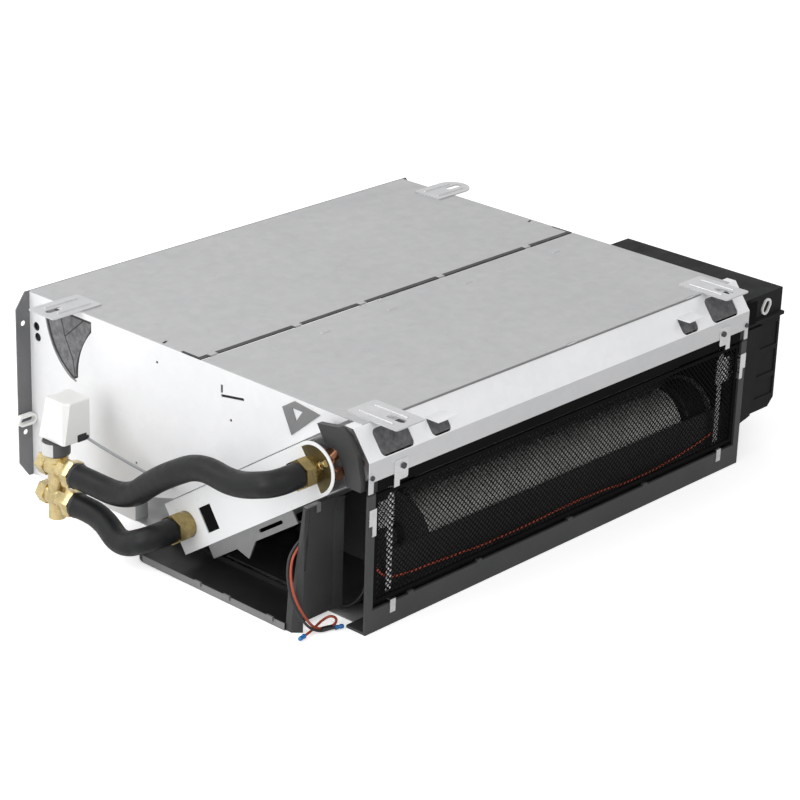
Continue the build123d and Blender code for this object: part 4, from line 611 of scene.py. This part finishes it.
cable = cord_curve("actuator_cord", cable_route, CABLE_RADIUS, grey_wire)
wire = cord_curve("inlet_wire_cord", wire_route, WIRE_RADIUS, orange_wire)
red_crimp = crimp("red_crimp", red_route)
black_crimp = crimp("black_crimp", black_route)
sleeve = turned("lead_sleeve", SLEEVE_START, SLEEVE_RUN, SLEEVE_PROFILE, black_wire)
to_sleeve = Matrix.Translation(SLEEVE_START * MM)
from_sleeve = Matrix.Translation(-SLEEVE_START * MM)
sleeve.data.transform(to_sleeve @ Matrix.Diagonal((1, 1, SLEEVE_FLATTEN, 1)) @ from_sleeve)
red_cord = cord_curve("red_cord", red_route, LEAD_RADIUS, red_wire)
black_cord = cord_curve("black_cord", black_route, LEAD_RADIUS, black_wire)
for piece, node in (
    (cable, "actuator_cable"),
    (red_cord, "red_lead"),
    (black_cord, "black_lead"),
    (red_crimp, "crimps"),
    (black_crimp, "crimps"),
    (wire, "inlet_wire"),
):
    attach(piece, "casing")
    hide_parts(node)
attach(sleeve, "casing")


# Filter net
NET_PITCH = 4.5
NET_THREAD = 1.15
NET_DEPTH = 0.45
DIAGONAL = 2 ** 0.5


def net_piece(name, low, high, y):
    """Woven net: flat threads at 45 degrees both ways, clipped to a rectangle in X and Z."""
    mesh = bmesh.new()
    step = NET_PITCH * DIAGONAL
    half = NET_THREAD / 2 * DIAGONAL
    width = high[0] - low[0]
    height = high[1] - low[1]
    for rising in (False, True):
        front = y if rising else y - NET_DEPTH
        for k in range(1, int((width + height) / step) + 1):
            start = k * step
            if start + half > width + height:
                continue
            edges = []
            for reach in (start - half, start + half):
                edge = []
                for x in (max(0.0, reach - height), min(width, reach)):
                    z = reach - x
                    edge.append((low[0] + x, high[1] - z if rising else low[1] + z))
                edges.append(edge)
            (a, b), (d, c) = edges
            near, far = (
                [mesh.verts.new((x * MM, depth * MM, z * MM)) for x, z in (a, b, c, d)]
                for depth in (front, front + NET_DEPTH)
            )
            mesh.faces.new(near)
            mesh.faces.new(far[::-1])
            bridge(mesh, near, far)
    return finish_mesh(name, mesh, net_black)


net_low, net_high = (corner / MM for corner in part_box("filter_mesh"))
net_middle = (net_low.y + net_high.y) / 2
net = net_piece("filter_net", (net_low.x, net_low.z), (net_high.x, net_high.z), net_middle)
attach(net, "filter")
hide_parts("filter_mesh")


# Strips on the casing
ROOF = 220.0
TAB_PLACES = [-280.5, -157.0, -57.0, 71.0, 221.0]
TAB_HALF = 5.5
STRIP_BEVEL = 0.1
# Black strip in the slot, and in the notches at its ends: painted shadow of the slot
SLOT_SHADOW_HALF = 3.0
SLOT_SHADOW_Z = (ROOF - 0.8, ROOF + 0.15)
NOTCH_WIDTH = 3.2
NOTCH_LENGTH = 26.5
NOTCH_Z = (ROOF - 0.9, ROOF + 0.1)
# Grey strip in the joint, a painted shadow of the gap: half its length, its edges in front of the top
# panel's edge, and its heights
LIP_HALF = 246.0
LIP_FORWARD = (1.3, 0.1)
LIP_Z = (ROOF - 1.9, ROOF - 0.35)
# Low corner, high corner and bevel of the strip on the frame's top bar and of the painted shade in the
# lid's recess
FRONT_STRIPS = (
    ((-299.0, -264.2, 155.2), (299.0, -263.4, 168.0), 0.2),
    ((313.2, -262.0, 167.5), (331.0, -261.3, 195.5), 0.3),
)

# Black strip in the slot between the top panels, open at the tabs, and down the notches at its ends:
# painted shadow of the slot and notches
front_low, front_high = (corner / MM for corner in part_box("front_top_panel"))
rear_low, rear_high = (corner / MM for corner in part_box("rear_top_panel"))
slot_middle = (front_high.y + rear_low.y) / 2
slot_shadow = bmesh.new()
tab_edges = [x + side * TAB_HALF for x in TAB_PLACES for side in (-1, 1)]
ends = [front_low.x, *tab_edges, front_high.x]
for start, end in zip(ends[::2], ends[1::2]):
    slab(slot_shadow, (start, slot_middle - SLOT_SHADOW_HALF, SLOT_SHADOW_Z[0]), (end, slot_middle + SLOT_SHADOW_HALF, SLOT_SHADOW_Z[1]),
         STRIP_BEVEL)
for side in (-1, 1):
    edge = side * front_high.x
    x_low, x_high = sorted((edge, edge - side * NOTCH_WIDTH))
    slab(slot_shadow, (x_low, slot_middle, NOTCH_Z[0]), (x_high, slot_middle + NOTCH_LENGTH, NOTCH_Z[1]),
         STRIP_BEVEL)
slot_shadow_piece = finish_mesh("roof_slot_shadow", slot_shadow, scroll_black)
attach(slot_shadow_piece, "casing")

# Grey strip in the joint of the crossbar and the front top panel: painted shadow of the gap between
# them
lip = bmesh.new()
slab(lip, (-LIP_HALF, front_low.y - LIP_FORWARD[0], LIP_Z[0]),
     (LIP_HALF, front_low.y - LIP_FORWARD[1], LIP_Z[1]), STRIP_BEVEL)
crossbar_gap_shadow_piece = finish_mesh("crossbar_gap_shadow", lip, rail_zinc)
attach(crossbar_gap_shadow_piece, "casing")

# Black strip on the frame's top bar, and a black slab of painted shade for the recess in the front of
# the box lid
dark = bmesh.new()
for strip in FRONT_STRIPS:
    slab(dark, *strip)
dark_piece = finish_mesh("front_strip_and_recess_shade", dark, net_black)
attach(dark_piece, "casing")


# Fan wheel
BLADES = 54
BLADE_STEPS = 6
BLADE_IN = 31.8
BLADE_OUT = 41.6
BLADE_SWEEP = 22.0  # degrees from a blade's inner edge to its outer edge
BLADE_LEAN = 0.35  # share of the sweep that is even; the rest grows with the square
BLADE_THICK = 0.8
BLADE_INSET = 1.5  # from the wheel's end to the blades' end
DISC_SHARES = (0.0, 0.25, 0.5, 0.75, 1.0)
DISC_SIDES = 72
DISC_HALF = 0.9
DISC_INSET = 1.0
DISC_RADIUS = BLADE_OUT + 0.3
HUB_RADIUS = 4.4
RING_RADIUS = BLADE_IN - 0.8
wheel_low, wheel_high = (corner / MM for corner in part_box("fan_wheel"))
wheel_y = (wheel_low.y + wheel_high.y) / 2
wheel_z = (wheel_low.z + wheel_high.z) / 2


def wheel_point(radius, turn, x):
    return mm(x, wheel_y + radius * cos(radians(turn)), wheel_z + radius * sin(radians(turn)))


# Cross-flow wheel: thin blades that curve forward, through rings and between two end discs
wheel_mesh = bmesh.new()
blade_left, blade_right = wheel_low.x + BLADE_INSET, wheel_high.x - BLADE_INSET
for blade in range(BLADES):
    start = 360.0 * blade / BLADES
    rings = []
    for step in range(BLADE_STEPS + 1):
        share = step / BLADE_STEPS
        radius = BLADE_IN + (BLADE_OUT - BLADE_IN) * share
        turn = start + BLADE_SWEEP * (BLADE_LEAN * share + (1 - BLADE_LEAN) * share ** 2)
        behind = turn + BLADE_THICK / radius * 180 / pi
        section = ((turn, blade_left), (turn, blade_right), (behind, blade_right), (behind, blade_left))
        rings.append([wheel_mesh.verts.new(wheel_point(radius, at, x)) for at, x in section])
    for near, far in zip(rings, rings[1:]):
        bridge(wheel_mesh, near, far)
    wheel_mesh.faces.new(rings[0][::-1])
    wheel_mesh.faces.new(rings[-1])
for share in DISC_SHARES:
    middle = wheel_low.x + DISC_INSET + (wheel_high.x - wheel_low.x - 2 * DISC_INSET) * share
    hub = HUB_RADIUS if share in (0.0, 1.0) else RING_RADIUS
    section = ((hub, -DISC_HALF), (DISC_RADIUS, -DISC_HALF), (DISC_RADIUS, DISC_HALF), (hub, DISC_HALF))
    disc = [[wheel_mesh.verts.new(wheel_point(radius, 360.0 * i / DISC_SIDES, middle + along))
             for radius, along in section] for i in range(DISC_SIDES)]
    for near, far in zip(disc, disc[1:] + disc[:1]):
        bridge(wheel_mesh, near, far)
wheel = finish_mesh("bladed_wheel", wheel_mesh, wheel_grey)
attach(wheel, "fan")
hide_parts("fan_wheel")


# Leaf windows
# Outline of the window in the side panels as (y, z): two corners at the top and two curved edges
LEAF_TOP = 212.0
LEAF_CORNERS = ((161.5, LEAF_TOP), (235.5, LEAF_TOP))
LEAF_REAR = ((235.5, 196.0), (219.5, 160.0), (191.5, 137.0))
LEAF_FRONT = ((184.5, 141.0), (181.5, 165.0), (161.5, 200.0))
LEAF_FOOT = (187.0, 137.0)
LEAF_STEPS = 14
CREASE_MEET = (205.0, 183.0)
CREASE_BEND = (192.5, 160.0)
CREASES = (
    ((214.0, LEAF_TOP), CREASE_MEET),
    ((171.0, LEAF_TOP), CREASE_MEET),
    (CREASE_MEET, CREASE_BEND),
    (CREASE_BEND, (189.0, 141.0)),
)
# Depths under the panel's outer face, and widths
LINER_DEPTHS = (0.45, 0.85)
JOINT_DEPTHS = (0.15, 0.5)
JOINT_WIDTH = 2.6
CREASE_DEPTHS = (0.3, 0.5)
CREASE_WIDTH = 1.3
RIM_DEPTHS = (-0.3, 0.6)
RIM_WIDTH = 2.2


def arc_through(start, middle, end):
    """Points of the parabola through three points."""
    start, middle, end = Vector(start), Vector(middle), Vector(end)
    points = []
    for i in range(LEAF_STEPS + 1):
        t = i / LEAF_STEPS
        points.append(start * (1 - t) * (1 - 2 * t) + middle * 4 * t * (1 - t) + end * t * (2 * t - 1))
    return points


# Liner seen in each leaf window: folded felt sheet, drawn flat with dark lines of painted shade along
# its creases, dark joint round it, bare rim on the panel
leaf = [Vector(corner) for corner in LEAF_CORNERS] + arc_through(*LEAF_REAR) + arc_through(*LEAF_FRONT)
leaf_rim = leaf[1:LEAF_STEPS + 2] + [Vector(LEAF_FOOT)]
panel_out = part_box("left_side_panel")[0].x / MM
for side, hand in ((1, "left"), (-1, "right")):
    def under(depths):
        """Places along X at depths under the panel's outer face."""
        return [side * (panel_out + depth) for depth in depths]

    sheet = bmesh.new()
    plate(sheet, leaf, *under(LINER_DEPTHS))
    liner = finish_mesh(hand + "_liner", sheet, liner_felt)
    joint_and_crease_shade = bmesh.new()
    ribbon(joint_and_crease_shade, leaf, -1.0, JOINT_WIDTH, *under(JOINT_DEPTHS), closed=True)
    # Creases: dark lines of painted shade where the liner folds
    for start, end in CREASES:
        ribbon(joint_and_crease_shade, [Vector(start), Vector(end)], 1.0, CREASE_WIDTH, *under(CREASE_DEPTHS))
    joint_and_crease_shade_piece = finish_mesh(hand + "_liner_joint_and_crease_shade", joint_and_crease_shade, scroll_black)
    rim = bmesh.new()
    ribbon(rim, leaf_rim, 1.0, RIM_WIDTH, *under(RIM_DEPTHS))
    rim_piece = finish_mesh(hand + "_leaf_rim", rim, rail_zinc)
    for piece in (liner, joint_and_crease_shade_piece, rim_piece):
        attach(piece, "casing")


# Coil cover
COIL_FOOT = Vector((-261.5, 171.5))
LEAN = Vector((0.82903, -0.55919))
COVER_IN = -331.2
COVER_OUT = -332.5
# Places in the coil's plane: along it from its start, and across it
WINDOW_SHADE_CORNERS = ((216.5, 10.5), (239.5, 10.5), (239.5, 41.5), (216.5, 41.5))
WINDOW_SHADE_THICK = 0.8
UNION_AT = (46.0, 29.5)
MOUTH_RADIUS = 25.3
MOUTH_WIDTH = 10.6
MOUTH_TURNS = range(84, 277, 8)
MOUTH_PROUD = (0.3, 0.05)
TAIL_START = (34.0, 29.5)
TAIL_END = (21.2, 29.5)
TAIL_PROUD = 2.6
TAIL_SIDES = 20
TAIL_PROFILE = [(0, 2.6), (0.5, 4.6), (6.0, 4.6), (6.5, 3.8), (12.0, 3.8), (12.4, 3.0)]


def on_coil(s, n):
    """Place in the coil's plane as (y, z)."""
    return COIL_FOOT + LEAN * s + Vector((-LEAN.y, LEAN.x)) * n


# Black sheet behind the opening of the coil cover: painted shade inside the cover
window_shade = bmesh.new()
plate(window_shade, [on_coil(*corner) for corner in WINDOW_SHADE_CORNERS], COVER_IN, COVER_IN + WINDOW_SHADE_THICK)
window_shade_piece = finish_mesh("cover_window_shade", window_shade, net_black)
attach(window_shade_piece, "casing")

# Open mouth of the cover round the upper union, drawn as a flat ring of brass darkened by painted
# shade, with the union's brass tail in it
mouth = bmesh.new()
mouth_line = []
for turn in MOUTH_TURNS:
    along, across = MOUTH_RADIUS * cos(radians(turn)), MOUTH_RADIUS * sin(radians(turn))
    mouth_line.append(on_coil(UNION_AT[0] + along, UNION_AT[1] + across))
ribbon(mouth, mouth_line, 1.0, MOUTH_WIDTH, *(COVER_OUT - proud for proud in MOUTH_PROUD))
mouth_piece = finish_mesh("cover_mouth", mouth, brass_in_painted_shade)
tail_from, tail_to = on_coil(*TAIL_START), on_coil(*TAIL_END)
tail = turned("union_tail", (COVER_OUT - TAIL_PROUD, *tail_from), (0, *(tail_to - tail_from)),
              TAIL_PROFILE, union_brass, TAIL_SIDES)
for piece in (mouth_piece, tail):
    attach(piece, "casing")


# Valve
VALVE_X = -370.5
VALVE_Y = 139.5
PORTS = (("low", 37.0), ("high", 71.0))
NUT_Y = 119.5
NUT_SIDES = 6
NUT_PROFILE = [(0, 13.0), (0.8, 15.9), (2.0, 16.5), (10.5, 16.5), (12.5, 15.8), (12.5, 13.4)]
COLLAR_Y = 107.0
COLLAR_SIDES = 32
COLLAR_PROFILE = [(0, 13.5), (0, 14.4), (3.0, 14.4), (4.0, 13.5)]
GASKET_Z = 101.4
GASKET_SIDES = 40
GASKET_PROFILE = [(0, 9.0), (0, 15.0), (0.9, 15.0), (0.9, 9.0)]
CORNER_CUT = 1.6
# Rings of the actuator cap: left front corner, right back corner, facet at the left front, height
CAP_OUTSIDE = (
    ((-377.2, 119.0), (-340.8, 159.2), 2.0, 102.3),
    ((-378.0, 118.2), (-340.0, 160.0), 2.2, 103.4),
    ((-373.6, 118.8), (-339.6, 153.0), 5.8, 147.0),
    ((-372.8, 119.6), (-340.4, 152.2), 5.5, 148.6),
    ((-371.0, 121.2), (-342.0, 150.6), 5.0, 149.0),
)
CAP_INSIDE = (
    ((-370.0, 122.0), (-343.0, 149.0), 4.0, 145.6),
    ((-376.2, 120.2), (-342.0, 158.0), 1.6, 102.3),
)
# Low corner, high corner and bevel of the blocks where the cable leaves the actuator
GLAND_BLOCKS = (
    ((-358.6, 117.2, 102.2), (-346.2, 120.4, 110.6), 0.7),
    ((-350.0, 116.6, 103.0), (-343.6, 120.6, 107.4), 0.6),
)

# Union nuts on the valve's front ports: flared hexagons round the ends of the hoses, with black collars
for level_name, port in PORTS:
    nut = turned("port_nut_" + level_name, (VALVE_X, NUT_Y, port), (0, -1, 0),
                 NUT_PROFILE, valve_brass, NUT_SIDES)
    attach(nut, "casing")
    collar = turned("port_collar_" + level_name, (VALVE_X, COLLAR_Y, port), (0, -1, 0),
                    COLLAR_PROFILE, black_wire, COLLAR_SIDES)
    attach(collar, "casing")


def cut_corner_ring(mesh, low, high, facet, z):
    """Rectangle with cut corners at one height, and a wider facet at its left front corner."""
    (x0, y0), (x1, y1), cut = low, high, CORNER_CUT
    points = [(x0 + facet, y0), (x1 - cut, y0), (x1, y0 + cut), (x1, y1 - cut),
              (x1 - cut, y1), (x0 + cut, y1), (x0, y1 - cut), (x0, y0 + facet)]
    return [mesh.verts.new((x * MM, y * MM, z * MM)) for x, y in points]


# Actuator cap: hollow, leaning in to its top, with a corner facet that widens upward
cap = bmesh.new()
outside = [cut_corner_ring(cap, *ring) for ring in CAP_OUTSIDE]
inside = [cut_corner_ring(cap, *ring) for ring in CAP_INSIDE]
for near, far in zip(outside, outside[1:]):
    bridge(cap, near, far)
bridge(cap, *inside)
bridge(cap, inside[-1], outside[0])
cap.faces.new(outside[-1])
cap.faces.new(inside[0][::-1])
cap_piece = finish_mesh("actuator_cap", cap, white_plastic)
gland = bmesh.new()
for block in GLAND_BLOCKS:
    slab(gland, *block)
gland_piece = finish_mesh("cable_gland", gland, black_wire)
gasket = turned("ring_gasket", (VALVE_X, VALVE_Y, GASKET_Z), (0, 0, 1),
                GASKET_PROFILE, black_wire, GASKET_SIDES)
for piece in (cap_piece, gland_piece, gasket):
    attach(piece, "casing")
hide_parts("actuator_housing")


# Stage
FLOOR_SIZE = 30
FLOOR_DROP = 0.0004
FLOOR_GLOW = 0.5
FLOOR_NOISE = (2.0, 2.0)
WORLD_LIGHT = 0.55
WORLD_WHITE = 1.0
# Lamps: place, target, diameter and watts
LAMPS = (
    ("key", (-2.7, 0.2, 1.0), (0, 0, 0.1), 2.2, 33),
    ("fill", (-0.8, -2.0, 2.3), (0, 0, 0.1), 1.6, 15),
    ("top", (-1.2, 0.9, 1.4), (-0.3, 0.1, 0.2), 1.1, 8),
)

# Pale floor that glows for the camera only and keeps the object's shadow
floor_shader = Shader("floor", (0.93, 0.93, 0.93), rough=0.95, spec=0.05)
floor_shader.color(floor_shader.ramp(floor_shader.noise(*FLOOR_NOISE), [
    (0.0, (0.925, 0.925, 0.925)),
    (1.0, (0.935, 0.935, 0.935)),
]))
floor_seen = floor_shader.node("ShaderNodeLightPath").outputs["Is Camera Ray"]
floor_glow = floor_shader.math("MULTIPLY", floor_seen, FLOOR_GLOW)
floor_shader.bsdf.inputs["Emission Color"].default_value = (1, 1, 1, 1)
floor_shader.link(floor_glow, floor_shader.bsdf.inputs["Emission Strength"])
bpy.ops.mesh.primitive_plane_add(size=FLOOR_SIZE, location=(0, 0, -FLOOR_DROP))
floor = bpy.context.object
floor.name = "floor"
floor.data.materials.append(floor_shader.material)

# White world for the camera and in reflections, and dimmer as light on the object
world = bpy.data.worlds.new("world")
scene.world = world
world.use_nodes = True
background = world.node_tree.nodes["Background"]
background.inputs["Color"].default_value = (1, 1, 1, 1)
ray = world.node_tree.nodes.new("ShaderNodeLightPath")
seen = world.node_tree.nodes.new("ShaderNodeMath")
seen.operation = "MAXIMUM"
world.node_tree.links.new(ray.outputs["Is Camera Ray"], seen.inputs[0])
world.node_tree.links.new(ray.outputs["Is Glossy Ray"], seen.inputs[1])
level = world.node_tree.nodes.new("ShaderNodeMapRange")
level.inputs["To Min"].default_value = WORLD_LIGHT
level.inputs["To Max"].default_value = WORLD_WHITE
world.node_tree.links.new(seen.outputs["Value"], level.inputs["Value"])
world.node_tree.links.new(level.outputs["Result"], background.inputs["Strength"])

for name, place, target, size, watts in LAMPS:
    data = bpy.data.lights.new(name, "AREA")
    data.shape = "DISK"
    data.size = size
    data.energy = watts
    lamp = bpy.data.objects.new(name, data)
    collection.objects.link(lamp)
    lamp.location = place
    lamp.rotation_mode = "QUATERNION"
    lamp.rotation_quaternion = (Vector(target) - Vector(place)).to_track_quat("-Z", "Y")

scene.view_settings.view_transform = "Standard"
